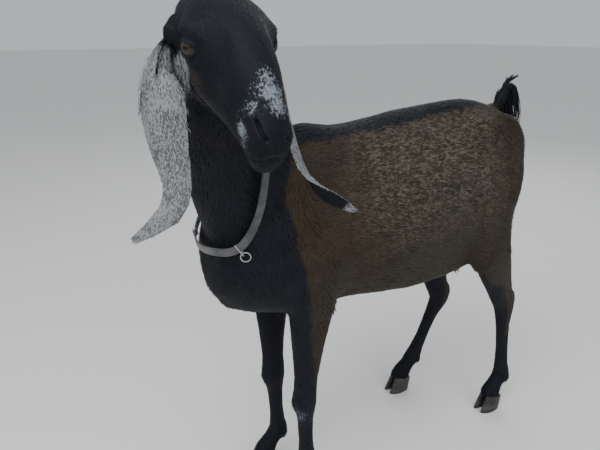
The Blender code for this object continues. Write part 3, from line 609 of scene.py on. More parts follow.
def paleOfEars(points, normals, ears):
    # pale outside and along the rim, dark inside and at the root
    share, across, inner = earPlaces(points)
    hollow = smoothStep(-0.15, 0.25, np.sum(normals * inner, axis=1)) * smoothStep(0.10, 0.40, share)
    rim = smoothStep(0.72, 0.90, np.abs(across) / earReach(share))
    dark = 0.92 * hollow * (1 - rim) * smoothStep(1.0, 0.9, share)
    return ears * (1 - dark) * smoothStep(0.13, 0.21, share)


def markings(points, normals):
    # one column each for black, white, tan, frost and pale ear
    headward = (points - np.array(at(*throat))) @ np.array(towards(*throatLie))
    ears = smoothStep(0.016, 0.0, earAwayness(points))
    head = smoothStep(-0.015, 0.015, headward) * (1 - ears)
    body = (1 - head) * (1 - ears)
    black, stripe = blackOfBody(points)
    tan = tanOfFace(points) * head
    black = np.maximum(body * black, head * (1 - tan))
    earMark = paleOfEars(points, normals, ears)
    black = np.maximum(black, ears * (1 - earMark))
    white, frost = whiteHairs(points, head), frostOfFlank(points, stripe, body)
    return np.clip(np.stack([black, white, tan, frost, earMark], axis=1), 0, 1)


# How the hair lies: lines from where it starts to where it ends, with a reach in metres
legLines = {
    "foreLeft": [(0.285, 0.078, 0.52), (0.270, 0.080, 0.44), (0.281, 0.077, 0.236),
                 (0.274, 0.074, 0.090), (0.300, 0.074, 0.03)],
    "foreRight": [(0.285, -0.078, 0.52), (0.270, -0.080, 0.44), (0.287, -0.040, 0.232),
                  (0.278, -0.040, 0.090), (0.318, -0.040, 0.03)],
    "hindLeft": [(-0.190, 0.076, 0.57), (-0.187, 0.085, 0.465), (-0.288, 0.060, 0.286),
                 (-0.308, 0.062, 0.090), (-0.272, 0.062, 0.03)],
    "hindRight": [(-0.168, -0.076, 0.57), (-0.151, -0.085, 0.465), (-0.222, -0.088, 0.264),
                  (-0.174, -0.116, 0.090), (-0.126, -0.116, 0.03)],
}
lieLines = []


def addLie(region, reach, places):
    lieLines.append((region, [at(*place) for place in places], reach))


headLine = [(0.165, 0, -0.04), (0.06, 0, -0.02), (-0.04, 0, -0.01), (-0.10, 0, -0.03)]
lieLines.append(("head", [onHead(*place) for place in headLine], 0.060))
addLie("neck", 0.070, [(0.453, 0.135, 0.885), (0.447, 0.105, 0.862), (0.425, 0.062, 0.805),
                       (0.385, 0.026, 0.735), (0.345, 0.004, 0.670), (0.330, 0.0, 0.60), (0.345, 0.0, 0.50)])
addLie("barrel", 0.075, [(0.30, 0, 0.72), (0.16, 0, 0.70), (0.0, 0, 0.69),
                         (-0.15, 0, 0.70), (-0.27, 0, 0.70)])
addLie("tail", 0.020, [(-0.250, 0, 0.745), (-0.276, 0, 0.786), (-0.284, 0, 0.81)])
barrelLines = [
    (0.075, [(0.25, 0.08, 0.62), (0.12, 0.10, 0.60), (-0.02, 0.10, 0.56), (-0.15, 0.09, 0.53)]),
    (0.060, [(0.22, 0.06, 0.47), (0.05, 0.06, 0.44), (-0.12, 0.05, 0.43)]),
    (0.065, [(-0.17, 0.06, 0.70), (-0.22, 0.07, 0.62), (-0.22, 0.075, 0.52)]),
    (0.055, [(0.30, 0.06, 0.66), (0.30, 0.075, 0.58), (0.285, 0.08, 0.50)]),
]
for sign in (1, -1):
    for reach, places in barrelLines:
        addLie("barrel", reach, [(x, sign * y, z) for x, y, z in places])
for name, line in legLines.items():
    addLie("foreLegs" if name.startswith("fore") else "hindLegs", 0.040, line)
for line in earLines.values():
    addLie("ears", 0.018, line)
regions = ["head", "ears", "neck", "barrel", "foreLegs", "hindLegs", "tail"]


def hairLie(points, normals):
    # direction of the hair at each place, and the region that it belongs to
    total = np.zeros((len(points), 3))
    best = np.full(len(points), -1.0)
    region = np.zeros(len(points), dtype=int)
    for name, line, reach in lieLines:
        for start, end in zip(line, line[1:]):
            start, end = np.array(start), np.array(end)
            run = end - start
            t = np.clip((points - start) @ run / (run @ run), 0, 1)
            away = np.linalg.norm(points - start - t[:, None] * run, axis=1)
            weight = (reach / np.maximum(away, 0.002)) ** 5
            total += weight[:, None] * run / np.linalg.norm(run)
            nearer = weight > best
            best = np.where(nearer, weight, best)
            region = np.where(nearer, regions.index(name), region)
    onEar = earAwayness(points) < 0.012
    for line in earLines.values():
        places = [at(*place) for place in line]
        away, share = distanceToLine(points, places)
        run = runsAt(np.clip(share * (len(places) - 1) + 0.5, 1, len(places) - 1), places)
        total = np.where((onEar & (away < 0.06))[:, None], unit(run), total)
    total = total - normals * np.sum(total * normals, axis=1, keepdims=True)
    return unit(total), region


def waves(points, seed, scale):
    # smooth random values between about -1 and 1, from crossed sine waves
    chance = np.random.default_rng(seed)
    value = np.zeros(len(points))
    for _ in range(7):
        direction = chance.normal(size=3)
        direction *= scale * chance.uniform(0.6, 1.6) / np.linalg.norm(direction)
        value += np.sin(points @ direction + chance.uniform(0, 6.3))
    return value / 3.2


def writeMarks(mesh, marks, tips, tones):
    # black, white, tan and frost, then how near the tip, each tuft's own tone, and how pale an ear is
    first = mesh.color_attributes.new("coatMarks", "FLOAT_COLOR", "POINT")
    first.data.foreach_set("color", marks[:, :4].ravel())
    second = mesh.color_attributes.new("coatTips", "FLOAT_COLOR", "POINT")
    rest = np.column_stack([tips, tones, marks[:, 4], np.ones(len(tips))])
    second.data.foreach_set("color", rest.ravel())


# Coat: each tuft is a thin closed spindle of six triangles that lies along the body
coatSizes = {
    # region: tufts, length, width, lift off the skin at the middle and at the tip
    "head": (30000, 0.0075, 0.00110, 0.0006, 0.0009),
    "ears": (30000, 0.0044, 0.00090, 0.0004, 0.0006),
    "neck": (31000, 0.0190, 0.00200, 0.0021, 0.0028),
    "barrelLeft": (32000, 0.0230, 0.00260, 0.0022, 0.0030),
    "barrelRight": (32000, 0.0230, 0.00260, 0.0022, 0.0030),
    "barrelTop": (32000, 0.0230, 0.00260, 0.0022, 0.0030),
    "foreLegs": (24000, 0.0120, 0.00160, 0.0010, 0.0014),
    "hindLegs": (31000, 0.0140, 0.00180, 0.0012, 0.0017),
}
tuftFaces = np.array([(0, 1, 3), (0, 3, 2), (0, 2, 1), (4, 3, 1), (4, 2, 3), (4, 1, 2)])
tuftPatch = np.array([(0, 0), (-0.5, 0.4), (0.5, 0.4), (0.1, 0.5), (0, 1.0)]) * 0.003


class SkinSamples:
    # the skin's triangles with what a tuft needs to know at its root
    def __init__(self, body):
        mesh = body.data
        mesh.calc_loop_triangles()
        count = len(mesh.loop_triangles)
        corners, loops = np.empty(count * 3, dtype=np.int32), np.empty(count * 3, dtype=np.int32)
        mesh.loop_triangles.foreach_get("vertices", corners)
        mesh.loop_triangles.foreach_get("loops", loops)
        self.corners, self.loops = corners.reshape(-1, 3), loops.reshape(-1, 3)
        self.points, self.normals = coordinates(mesh), normalsOf(mesh)
        uv = np.empty(len(mesh.loops) * 2)
        mesh.uv_layers["OFBake"].data.foreach_get("uv", uv)
        self.uv = uv.reshape(-1, 2)
        self.lie, region = hairLie(self.points, self.normals)
        a, b, c = (self.points[self.corners[:, i]] for i in range(3))
        self.area = np.linalg.norm(np.cross(b - a, c - a), axis=1) / 2
        self.region = region[self.corners[:, 0]]
        middle = (a + b + c) / 3
        self.forward, self.left, self.up = goatPlaces(middle)
        self.bare = bareness(middle)


def bareness(points):
    # no hair on the lips, in the nostrils, on the lid rims and on the soles
    bare = np.zeros(len(points))
    for line in [features["mouth"], *features["nostrils"].values()]:
        away, _ = distanceToLine(points, line)
        bare = np.maximum(bare, smoothStep(0.0045, 0.0025, away))
    for side in (1, -1):
        away = points - np.array(eyeCentres[side])
        outward = np.array(eyeFrame(side)[2])
        out = away @ outward
        flat = np.linalg.norm(away - np.outer(out, outward), axis=1)
        bare = np.maximum(bare, smoothStep(0.0105, 0.0090, flat) * (out > 0.004))
    return bare


def pieceWeights(samples, name):
    region = regions.index("barrel" if name.startswith("barrel") else name)
    weights = samples.area * (samples.region == region) * (1 - samples.bare) * (samples.up > 0.034)
    if name == "neck":
        weights = weights + samples.area * (samples.region == regions.index("tail"))
    if name.startswith("barrel"):
        top = samples.up > 0.665 - 0.02 * (samples.forward > 0)
        onLeft = samples.left >= 0
        side = {"barrelTop": top, "barrelLeft": ~top & onLeft, "barrelRight": ~top & ~onLeft}
        weights = weights * side[name]
    return weights


def placeRoots(samples, name, count, chance):
    weights = pieceWeights(samples, name)
    # an even step through the summed weights spreads the roots evenly
    steps = (np.arange(count) + chance.uniform(0, 1, count)) / count
    chosen = np.searchsorted(np.cumsum(weights) / weights.sum(), steps)
    chosen = np.minimum(chosen, len(weights) - 1)
    r1, r2 = np.sqrt(chance.uniform(0, 1, count)), chance.uniform(0, 1, count)
    shares = np.stack([1 - r1, r1 * (1 - r2), r1 * r2], axis=1)[:, :, None]
    corners = samples.corners[chosen]
    root = (samples.points[corners] * shares).sum(axis=1)
    normal = unit((samples.normals[corners] * shares).sum(axis=1))
    lie = unit((samples.lie[corners] * shares).sum(axis=1))
    return root, normal, lie, (samples.uv[samples.loops[chosen]] * shares).sum(axis=1)


def tuftMesh(name, verts, faces):
    mesh = bpy.data.meshes.new(name)
    mesh.vertices.add(len(verts))
    mesh.vertices.foreach_set("co", verts.ravel())
    mesh.loops.add(faces.size)
    mesh.loops.foreach_set("vertex_index", faces.ravel().astype(np.int32))
    mesh.polygons.add(len(faces))
    mesh.polygons.foreach_set("loop_start", np.arange(0, faces.size, 3, dtype=np.int32))
    mesh.update(calc_edges=True)
    return mesh


def growCoat(samples, name, seed):
    count, length, width, middleLift, tipLift = coatSizes[name]
    count = count
    chance = np.random.default_rng(seed)
    root, normal, lie, uv = placeRoots(samples, name, count, chance)

    # whorls and waves: the lie turns a little from place to place
    across = np.cross(normal, lie)
    turn = 0.22 * waves(root, seed + 1, 60) + chance.normal(0, 0.16, count)
    lie = unit(lie + across * turn[:, None])
    across = unit(np.cross(normal, lie))
    long = length * chance.uniform(0.7, 1.25, count) * fineness(root)
    wide = width * chance.uniform(0.75, 1.3, count) * np.sqrt(fineness(root))
    lift = chance.uniform(0.7, 1.3, count)
    tipHeight = tipLift * lift * (1 + 0.5 * waves(root, seed + 2, 90))
    middle = root + lie * (long * 0.42)[:, None] + normal * (middleLift * lift)[:, None]
    tip = root + lie * long[:, None] + normal * tipHeight[:, None]
    tip += across * (chance.normal(0, 0.06, count) * long)[:, None]
    verts = np.stack([
        root - normal * 0.0008,
        middle - across * (wide / 2)[:, None],
        middle + across * (wide / 2)[:, None],
        middle + normal * (wide * 0.22)[:, None],
        tip,
    ], axis=1).reshape(-1, 3)
    faces = (tuftFaces[None] + np.arange(count)[:, None, None] * 5).reshape(-1, 3)
    mesh = tuftMesh(name, verts, faces)

    # the tuft's own patch of the skin's unwrap
    spread = (uv[:, None, :] + tuftPatch[None]).reshape(-1, 2)
    mesh.uv_layers.new(name="OFBake").data.foreach_set("uv", spread[faces.ravel()].ravel())
    marks = np.repeat(markings(root, normal), 5, axis=0)
    tips = np.tile([0.0, 0.42, 0.42, 0.42, 1.0], count)
    tones = np.repeat(np.clip(0.5 + 0.22 * chance.normal(size=count), 0, 1), 5)
    writeMarks(mesh, marks, tips, tones)
    mesh.shade_smooth()
    # soft shading: the tufts turn towards the skin's own direction
    own = normalsOf(mesh)
    mesh.normals_split_custom_set_from_vertices(unit(own * 0.45 + np.repeat(normal, 5, axis=0) * 0.75))
    piece = newPiece("coat" + name[0].upper() + name[1:], mesh)
    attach(piece, "root")
    return piece


def fineness(points):
    # shorter and finer hair on the muzzle, the ears' rims and the feet, round the eyes and in the groin
    along = headPlaces(points)[0]
    muzzle = smoothStep(0.05, 0.13, along) * smoothStep(0.70, 0.74, points[:, 2])
    eyes = np.zeros(len(points))
    for centre in eyeCentres.values():
        away = np.linalg.norm(points - np.array(centre), axis=1)
        eyes = np.maximum(eyes, smoothStep(0.030, 0.014, away))
    share, across, _ = earPlaces(points)
    rim = smoothStep(0.55, 0.95, np.abs(across) / earReach(share))
    rim = rim * smoothStep(0.016, 0.0, earAwayness(points))
    groin = spot(points, at(-0.13, 0, 0.42), 0.07, 0.03)
    low = smoothStep(0.14, 0.06, points[:, 2])
    return 1 - 0.5 * np.maximum.reduce([muzzle, eyes, rim, groin]) - 0.3 * low


# Long hair of the tail: locks of many strands that follow the dock and fall behind it
tailSizes = {
    "locks": 230,
    "length": 0.096,
    "width": 0.0036,
    "rows": 7,
    "standing": 0.86,   # locks rooted past this share of the dock stand up
    "patches": 16,      # patches along each side of the unwrap, one for each lock
}


def lockPlaces(line, share, chance):
    # the middle of each row of a lock, and the way that the lock faces
    root = sampleLine(line, 0.12 + 0.88 * share)
    turn = chance.uniform(-1.25, 1.25)
    outward = Vector((math.sin(turn), math.cos(turn), 0.25)).normalized()
    long = tailSizes["length"] * chance.uniform(0.7, 1.1) * (0.55 + 0.5 * share)
    places = []
    for k in range(tailSizes["rows"]):
        t = k / (tailSizes["rows"] - 1)
        if share > tailSizes["standing"]:
            step = Vector((outward.x * 0.010 * t, 0.012 * t + 0.014 * t * t, 0.018 * t))
        else:
            rise = 0.010 * math.sin(math.pi * min(t * 1.6, 1))
            back = (0.032 + 0.026 * share) * math.sin(t * math.pi / 2)
            behind = back * max(outward.y, 0.25) + 0.004
            step = Vector((outward.x * (0.008 + 0.014 * t), behind, rise - long * t ** 1.7))
        places.append(root + step + Vector(chance.normal(0, 0.0007, 3)) * t)
    return places, outward


def addLock(bm, places, outward):
    ring = []
    for k, place in enumerate(places):
        t = k / (tailSizes["rows"] - 1)
        run = (places[min(k + 1, len(places) - 1)] - places[max(k - 1, 0)]).normalized()
        side = run.cross(outward).normalized()
        wide = tailSizes["width"] / 2 * (0.55 + 1.6 * t * (1 - t) * 1.2) * (1 - 0.75 * t)
        thick = wide * 0.4
        face = side.cross(run).normalized()
        row = [bm.verts.new(place + side * wide), bm.verts.new(place + face * thick),
               bm.verts.new(place - side * wide), bm.verts.new(place - face * thick)]
        if ring:
            for j in range(4):
                bm.faces.new((ring[j], ring[(j + 1) % 4], row[(j + 1) % 4], row[j]))
        else:
            bm.faces.new(row[::-1])
        ring = row
    bm.faces.new(ring)


def unwrapLocks(mesh):
    rows, patches = tailSizes["rows"], tailSizes["patches"]
    corners = np.empty(len(mesh.loops), dtype=np.int32)
    mesh.loops.foreach_get("vertex_index", corners)
    lock, inside = corners // (4 * rows), corners % (4 * rows)
    u = ((lock % patches) + 0.1 + 0.8 * (inside % 4) / 3) / patches
    v = ((lock // patches) + 0.1 + 0.8 * (inside // 4) / (rows - 1)) / patches
    mesh.uv_layers.new(name="OFBake").data.foreach_set("uv", np.column_stack([u, v]).ravel())


def growTail():
    chance = np.random.default_rng(77)
    line = [at(*place) for place in dockLine]
    locks, rows = tailSizes["locks"], tailSizes["rows"]
    bm = bmesh.new()
    tones = []
    for i in range(locks):
        places, outward = lockPlaces(line, (i + 0.5) / locks, chance)
        tones.append(float(np.clip(0.5 + 0.2 * chance.normal(), 0, 1)))
        addLock(bm, places, outward)
    bmesh.ops.recalc_face_normals(bm, faces=bm.faces)
    mesh = meshFrom(bm, "tailHair")
    marks = np.zeros((len(mesh.vertices), 5))
    marks[:, 0] = 1
    tips = np.tile(np.repeat(np.arange(rows) / (rows - 1), 4), locks)
    writeMarks(mesh, marks, tips, np.repeat(tones, 4 * rows))
    mesh.shade_smooth()
    unwrapLocks(mesh)
    piece = newPiece("tailHair", mesh)
    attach(piece, "root")
    return piece


def sampleLine(line, share):
    place = min(max(share, 0.0), 1.0) * (len(line) - 1)
    i = min(int(place), len(line) - 2)
    return line[i].lerp(line[i + 1], place - i)


# Eyes: a smooth ball with a bulging front; the iris is drawn by the material
irisPatch = 0.040   # the side of the square that the iris is drawn on


def makeEye(side):
    centre = eyeCentres[side]
    bm = bmesh.new()
    bmesh.ops.create_uvsphere(bm, u_segments=56, v_segments=36, radius=headPose["eyeRadius"])
    for v in bm.verts:
        bulge = max(v.co.z / headPose["eyeRadius"] - 0.80, 0) / 0.20
        v.co *= 1 + 0.030 * bulge ** 1.5
    along, up, out = eyeFrame(side)
    turn = Matrix((along, up * side, out)).transposed().to_4x4()
    layer = bm.loops.layers.uv.new("iris")
    for face in bm.faces:
        for loop in face.loops:
            x, y = loop.vert.co.x, loop.vert.co.y * side
            loop[layer].uv = (0.5 + x / irisPatch, 0.5 + (y + x * lidSizes["slant"]) / irisPatch)
    bmesh.ops.transform(bm, matrix=Matrix.Translation(centre) @ turn, verts=bm.verts)
    bmesh.ops.recalc_face_normals(bm, faces=bm.faces)
    name = "eyeLeft" if side > 0 else "eyeRight"
    eye = newPiece(name, meshFrom(bm, name))
    eye.data.shade_smooth()
    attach(eye, "root")
    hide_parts("eye_left" if side > 0 else "eye_right")
    return eye


# Claws: a horn box with a flat sole, growth rings and a rounded heel
clawSizes = {
    "levels": 14,
    "points": 40,
    "power": 2.3,          # squareness of the outline
    "inner": 0.74,         # the inner side is flatter
    "ringDepth": 0.00025,
    "bottomEdge": 0.0010,
    "taper": 0.23,         # how much shorter the top is than the sole
    "lean": 0.014,         # the top lies this far behind
}


def rounded(value, power):
    return math.copysign(abs(value) ** (2 / power), value)


def makeClaw(node, outward):
    low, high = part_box(node)
    long, wide, tall = high[1] - low[1], high[0] - low[0], high[2] - low[2]
    bm = bmesh.new()
    made = bmesh.ops.create_circle(bm, cap_ends=True, segments=clawSizes["points"], radius=1)
    face = bm.faces[:][0]
    shapes = [(v, math.atan2(v.co.y, v.co.x)) for v in made["verts"]]
    levels = clawSizes["levels"]
    half = long * 0.452
    for level in range(levels + 1):
        share = level / levels
        for v, angle in shapes:
            c, s = (rounded(value, clawSizes["power"]) for value in (math.cos(angle), math.sin(angle)))
            toe = max(c, 0) ** 2
            ripple = 1 + clawSizes["ringDepth"] / half * math.sin(share * 34) * (0 < level < levels)
            edge = 1 - clawSizes["bottomEdge"] / half * (level == 0)
            along = c * half * (1 - clawSizes["taper"] * share) * ripple * edge
            across = s * wide * 0.5 * 1.07 * (1 - 0.06 * share) * (1 - 0.26 * toe) * ripple * edge
            if across * outward < 0:
                across *= clawSizes["inner"]
            across += outward * wide * (0.06 - 0.09 * share - 0.10 * toe)
            along -= clawSizes["lean"] * share
            # the upper edge slopes up to the front
            top = tall * (0.93 + 0.20 * along / tall * share)
            v.co = Vector((low[0] + wide / 2 + across, low[1] + half * 0.985 - along, top * share))
        if level < levels:
            extruded = bmesh.ops.extrude_face_region(bm, geom=[face])
            fresh = [e for e in extruded["geom"] if isinstance(e, bmesh.types.BMVert)]
            newFace = [e for e in extruded["geom"] if isinstance(e, bmesh.types.BMFace)][0]
            if level > 0:
                bmesh.ops.delete(bm, geom=[face], context="FACES_ONLY")
            shapes = [(min(fresh, key=lambda n: (n.co - v.co).length), angle) for v, angle in shapes]
            face = newFace
    bmesh.ops.recalc_face_normals(bm, faces=bm.faces)
    words = node.split("_")
    name = words[0] + "".join(word.capitalize() for word in words[1:])
    claw = newPiece(name, meshFrom(bm, name))
    claw.data.shade_smooth()
    claw.data.set_sharp_from_angle(angle=math.radians(50))
    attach(claw, "root")
    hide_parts(node)
    return claw


# Strap: woven webbing with rounded edges, a keeper with a ring, and a buckle
def smoothCopy(node, name, levels, bevel):
    bm = nodeCopy(node)
    bmesh.ops.join_triangles(bm, faces=bm.faces, angle_face_threshold=0.7, angle_shape_threshold=3.1)
    if bevel:
        edges = [e for e in bm.edges if len(e.link_faces) == 2 and e.calc_face_angle(0) > 1.0]
        bmesh.ops.bevel(bm, geom=edges, offset=bevel, affect="EDGES", segments=2, profile=0.5, material=-1)
    copy = newPiece(name, meshFrom(bm, name))
    if levels:
        modifier(copy, "SUBSURF", levels=levels, render_levels=levels)
        baked(copy)
    copy.data.shade_smooth()
    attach(copy, "root")
    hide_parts(node)
    return copy


def makeStrap():
    strap = smoothCopy("strap", "neckStrap", 2, 0.0006)
    # how far round the loop and across the webbing each place is, for the weave
    points = coordinates(strap.data)
    middle = points.mean(axis=0)
    _, _, axes = np.linalg.svd(points - middle, full_matrices=False)
    flat = (points - middle) @ axes.T
    angle = np.arctan2(flat[:, 1], flat[:, 0])
    mesh = strap.data
    loops = np.empty(len(mesh.loops), dtype=np.int32)
    mesh.loops.foreach_get("vertex_index", loops)
    layer = mesh.uv_layers.new(name="weave")
    u = angle / (2 * math.pi) * 0.88
    layer.data.foreach_set("uv", np.column_stack([u[loops], flat[loops, 2]]).ravel())
    return strap


# Materials
class Value:
    # one output of a node, so that sums are written as sums
    def __init__(self, look, socket):
        self.look, self.socket = look, socket

    def sum(self, operation, *terms):
        return self.look.add("ShaderNodeMath", {"operation": operation}, dict(enumerate(terms)))

    def __add__(self, other):
        return self.sum("ADD", self, other)

    __radd__ = __add__

    def __sub__(self, other):
        return self.sum("SUBTRACT", self, other)

    def __rsub__(self, other):
        return self.sum("SUBTRACT", other, self)

    def __mul__(self, other):
        return self.sum("MULTIPLY", self, other)

    __rmul__ = __mul__

    def __pow__(self, other):
        return self.sum("POWER", self, other)


class Look:
    # a material being made
    def __init__(self, name):
        self.material = bpy.data.materials.new(name)
        self.material.use_nodes = True
        self.tree = self.material.node_tree
        self.shader = self.tree.nodes["Principled BSDF"]

    def add(self, kind, settings=None, inputs=None, output=0):
        node = self.tree.nodes.new(kind)
        for name, value in (settings or {}).items():
            if name == "stops":
                ramp = node.color_ramp.elements
                while len(ramp) < len(value):
                    ramp.new(1.0)
                for element, (place, colour) in zip(ramp, value):
                    element.position = place
                    element.color = colour
            else:
                setattr(node, name, value)
        for name, value in (inputs or {}).items():
            self.put(self.find(node.inputs, name), value)
        return Value(self, self.find(node.outputs, output))

    def find(self, sockets, name):
        if isinstance(name, int):
            return sockets[name]
        for socket in sockets:
            if socket.identifier == name:
                return socket
        return sockets[name]

    def put(self, socket, value):
        if isinstance(value, Value):
            self.tree.links.new(value.socket, socket)
        else:
            socket.default_value = value

    def set(self, **values):
        names = {
            "colour": "Base Color", "roughness": "Roughness", "metallic": "Metallic", "normal": "Normal",
            "coat": "Coat Weight", "coatRoughness": "Coat Roughness", "specular": "Specular IOR Level",
            "sheen": "Sheen Weight", "sheenRoughness": "Sheen Roughness",
        }
        for name, value in values.items():
            self.put(self.shader.inputs[names[name]], value)

    def mix(self, first, second, factor, blend="MIX"):
        settings = {"data_type": "RGBA", "blend_type": blend}
        inputs = {"A_Color": first, "B_Color": second, "Factor_Float": factor}
        return self.add("ShaderNodeMix", settings, inputs, "Result_Color")

    def place(self):
        return self.add("ShaderNodeTexCoord", output="Object")

    def noise(self, scale, detail=2.0, vector=None, roughness=0.5):
        return self.add("ShaderNodeTexNoise", None, {
            "Vector": vector or self.place(), "Scale": scale, "Detail": detail, "Roughness": roughness,
        }, "Fac")

    def ramp(self, value, low, high):
        # a soft step from 0 to 1
        return self.add("ShaderNodeMapRange", {"interpolation_type": "SMOOTHSTEP"}, {
            "Value": value, "From Min": low, "From Max": high, "To Min": 0.0, "To Max": 1.0,
        }, "Result")

    def stretched(self, scale):
        return self.add("ShaderNodeMapping", None, {"Vector": self.place(), "Scale": scale})

    def maths(self, operation, value):
        return self.add("ShaderNodeMath", {"operation": operation}, {0: value})

    def axis(self, vector, name):
        return self.add("ShaderNodeSeparateXYZ", None, {"Vector": vector}, name)

    def uv(self, name):
        return self.add("ShaderNodeUVMap", {"uv_map": name}, None, "UV")

    def bump(self, height, distance, strength):
        inputs = {"Height": height, "Distance": distance, "Strength": strength}
        return self.add("ShaderNodeBump", None, inputs, "Normal")

    def attribute(self, name):
        # the three colours of an attribute and its alpha, as numbers
        colour = self.add("ShaderNodeAttribute", {"attribute_name": name}, None, "Color")
        parts = self.add("ShaderNodeSeparateColor", None, {"Color": colour}).socket.node
        alpha = colour.socket.node.outputs["Alpha"]
        return [Value(self, socket) for socket in (*parts.outputs, alpha)]

    def onto(self, piece):
        piece.data.materials.clear()
        piece.data.materials.append(self.material)


coatColours = {
    "brown": (0.040, 0.025, 0.014, 1),
    "umber": (0.028, 0.023, 0.016, 1),
    # black hair with a painted sheen: its blue tint is the sky's reflection painted into the colour
    "black": (0.0048, 0.0062, 0.0112, 1),
    "tan": (0.092, 0.068, 0.052, 1),
    "frost": (0.104, 0.090, 0.069, 1),
    "roan": (0.235, 0.262, 0.300, 1),
    "white": (0.320, 0.330, 0.350, 1),
    "earShade": (0.115, 0.117, 0.125, 1),
}


def coatLook(name, isSkin):
    look = Look(name)
    black, white, tan, frost = look.attribute("coatMarks")
    tip, tone, ears, _ = look.attribute("coatTips")
    ragged = look.noise(70, 3.0)
    fine = look.noise(330, 2.0)
    # long along the body and wavy across it
    rippled = look.stretched((1.0, 0.42, 1.0))
    wave = look.add("ShaderNodeTexNoise", None, {
        "Vector": rippled, "Scale": 150.0, "Detail": 2.0, "Distortion": 1.6,
    }, "Fac")
    # warm brown over the shoulder, greyer towards the rump
    rear = look.ramp(look.axis(look.place(), "Y"), -0.20, 0.04)
    warm = look.ramp(look.noise(6, 3.0), 0.35, 0.62) * (1 - rear * 0.7)
    base = look.mix(coatColours["umber"], coatColours["brown"], warm)
    # wavy grey tips over the flank
    tipped = frost * look.ramp(wave + tip * 0.10 + tone * 0.14, 0.54, 0.78) * 0.85
    base = look.mix(base, coatColours["frost"], tipped)
    # black markings, in a black whose blue tint is painted sheen
    base = look.mix(base, coatColours["black"], look.ramp(black + (ragged - 0.5) * 0.5, 0.35, 0.65))
    base = look.mix(base, coatColours["tan"], tan * 0.8)
    # roan: white hairs among the dark ones
    roan = look.ramp(white * 1.20 + (fine - 0.5) * 1.9 + (tone - 0.5) * 0.7, 0.40, 1.05)
    base = look.mix(base, coatColours["roan"], roan * look.ramp(white, 0.04, 0.28))
    # ears are pale with small dark flecks, more of them near the root
    flecks = look.noise(430, 2.0, look.stretched((1.0, 1.0, 0.5)))
    clouds = look.noise(26, 2.0)
    pale = look.ramp(flecks + (tone - 0.5) * 0.30 + (clouds - 0.5) * 0.5, 0.36, 0.60)
    earColour = look.mix(coatColours["earShade"], coatColours["white"], pale)
    base = look.mix(base, earColour, look.ramp(ears + (ragged - 0.5) * 0.4, 0.35, 0.65))
    shade = 0.80 + fine * 0.25 if isSkin else 0.70 + tone * 0.5 + tip * 0.15
    grey = look.add("ShaderNodeCombineColor", None, dict.fromkeys(("Red", "Green", "Blue"), shade))
    base = look.mix(base, grey, 1.0, "MULTIPLY")
    look.set(colour=base, roughness=0.60, sheen=0.02, sheenRoughness=0.4, specular=0.20)
    if isSkin:
        hair = look.noise(900, 2.0) + look.noise(420, 2.0) * 0.6
        look.set(normal=look.bump(hair, 0.0009, 0.6))
    return look


def eyeLook():
    look = Look("eye")
    # metres across and up from the pupil's middle
    across, up = ((look.axis(look.uv("iris"), name) - 0.5) * irisPatch for name in ("X", "Y"))
    away = (across * across + up * up) ** 0.5
    wide, tall = look.maths("ABSOLUTE", across), look.maths("ABSOLUTE", up)
    pupil = look.ramp(wide + look.noise(700) * 0.0004, 0.0056, 0.0050) * look.ramp(tall, 0.0023, 0.0018)
    streak = look.noise(600, 3.0)
    iris = look.mix((0.015, 0.008, 0.004, 1), (0.036, 0.019, 0.008, 1), streak)
    iris = look.mix(iris, (0.012, 0.008, 0.006, 1), look.ramp(away, 0.0072, 0.0092))
    iris = look.mix(iris, (0.001, 0.001, 0.002, 1), pupil)
    look.set(colour=iris, roughness=0.10, specular=0.25, coat=0.25, coatRoughness=0.03)
    return look


def hornLook():
    look = Look("horn")
    rings = look.noise(1.0, 3.0, look.stretched((6.0, 6.0, 140.0)))
    dirt = look.noise(160, 3.0)
    colour = look.mix((0.012, 0.011, 0.011, 1), (0.055, 0.047, 0.040, 1), look.ramp(rings, 0.35, 0.7))
    colour = look.mix(colour, (0.11, 0.095, 0.075, 1), look.ramp(dirt, 0.56, 0.75) * 0.5)
    relief = look.bump(rings + dirt * 0.3, 0.0006, 0.7)
    look.set(colour=colour, roughness=0.45 + dirt * 0.25, normal=relief)
    return look


def webbingLook():
    look = Look("webbing")
    along, across = (look.axis(look.uv("weave"), name) for name in ("X", "Y"))
    ribs = look.maths("SINE", across * 4200.0)
    picks = look.maths("SINE", along * 3900.0 + ribs * 1.2)
    worn = look.ramp(look.noise(40, 4.0) + picks * 0.05, 0.38, 0.66)
    colour = look.mix((0.036, 0.037, 0.042, 1), (0.085, 0.085, 0.090, 1), worn)
    relief = look.bump(picks * 0.5 + ribs * 0.5, 0.0004, 0.6)
    look.set(colour=colour, roughness=0.78, sheen=0.25, normal=relief)
    return look


def steelLook():
    look = Look("steel")
    scratch = look.noise(300, 4.0)
    rust = look.ramp(look.noise(70, 4.0), 0.58, 0.72)
    colour = look.mix((0.42, 0.42, 0.43, 1), (0.10, 0.060, 0.035, 1), rust * 0.55)
    relief = look.bump(scratch, 0.0001, 0.4)
    look.set(colour=colour, metallic=1.0 - rust * 0.6, roughness=0.30 + scratch * 0.25, normal=relief)
    return look


def floorLook():
    look = Look("paleFloor")
    look.set(colour=(0.80, 0.80, 0.79, 1), roughness=0.8, specular=0.2)
    return look


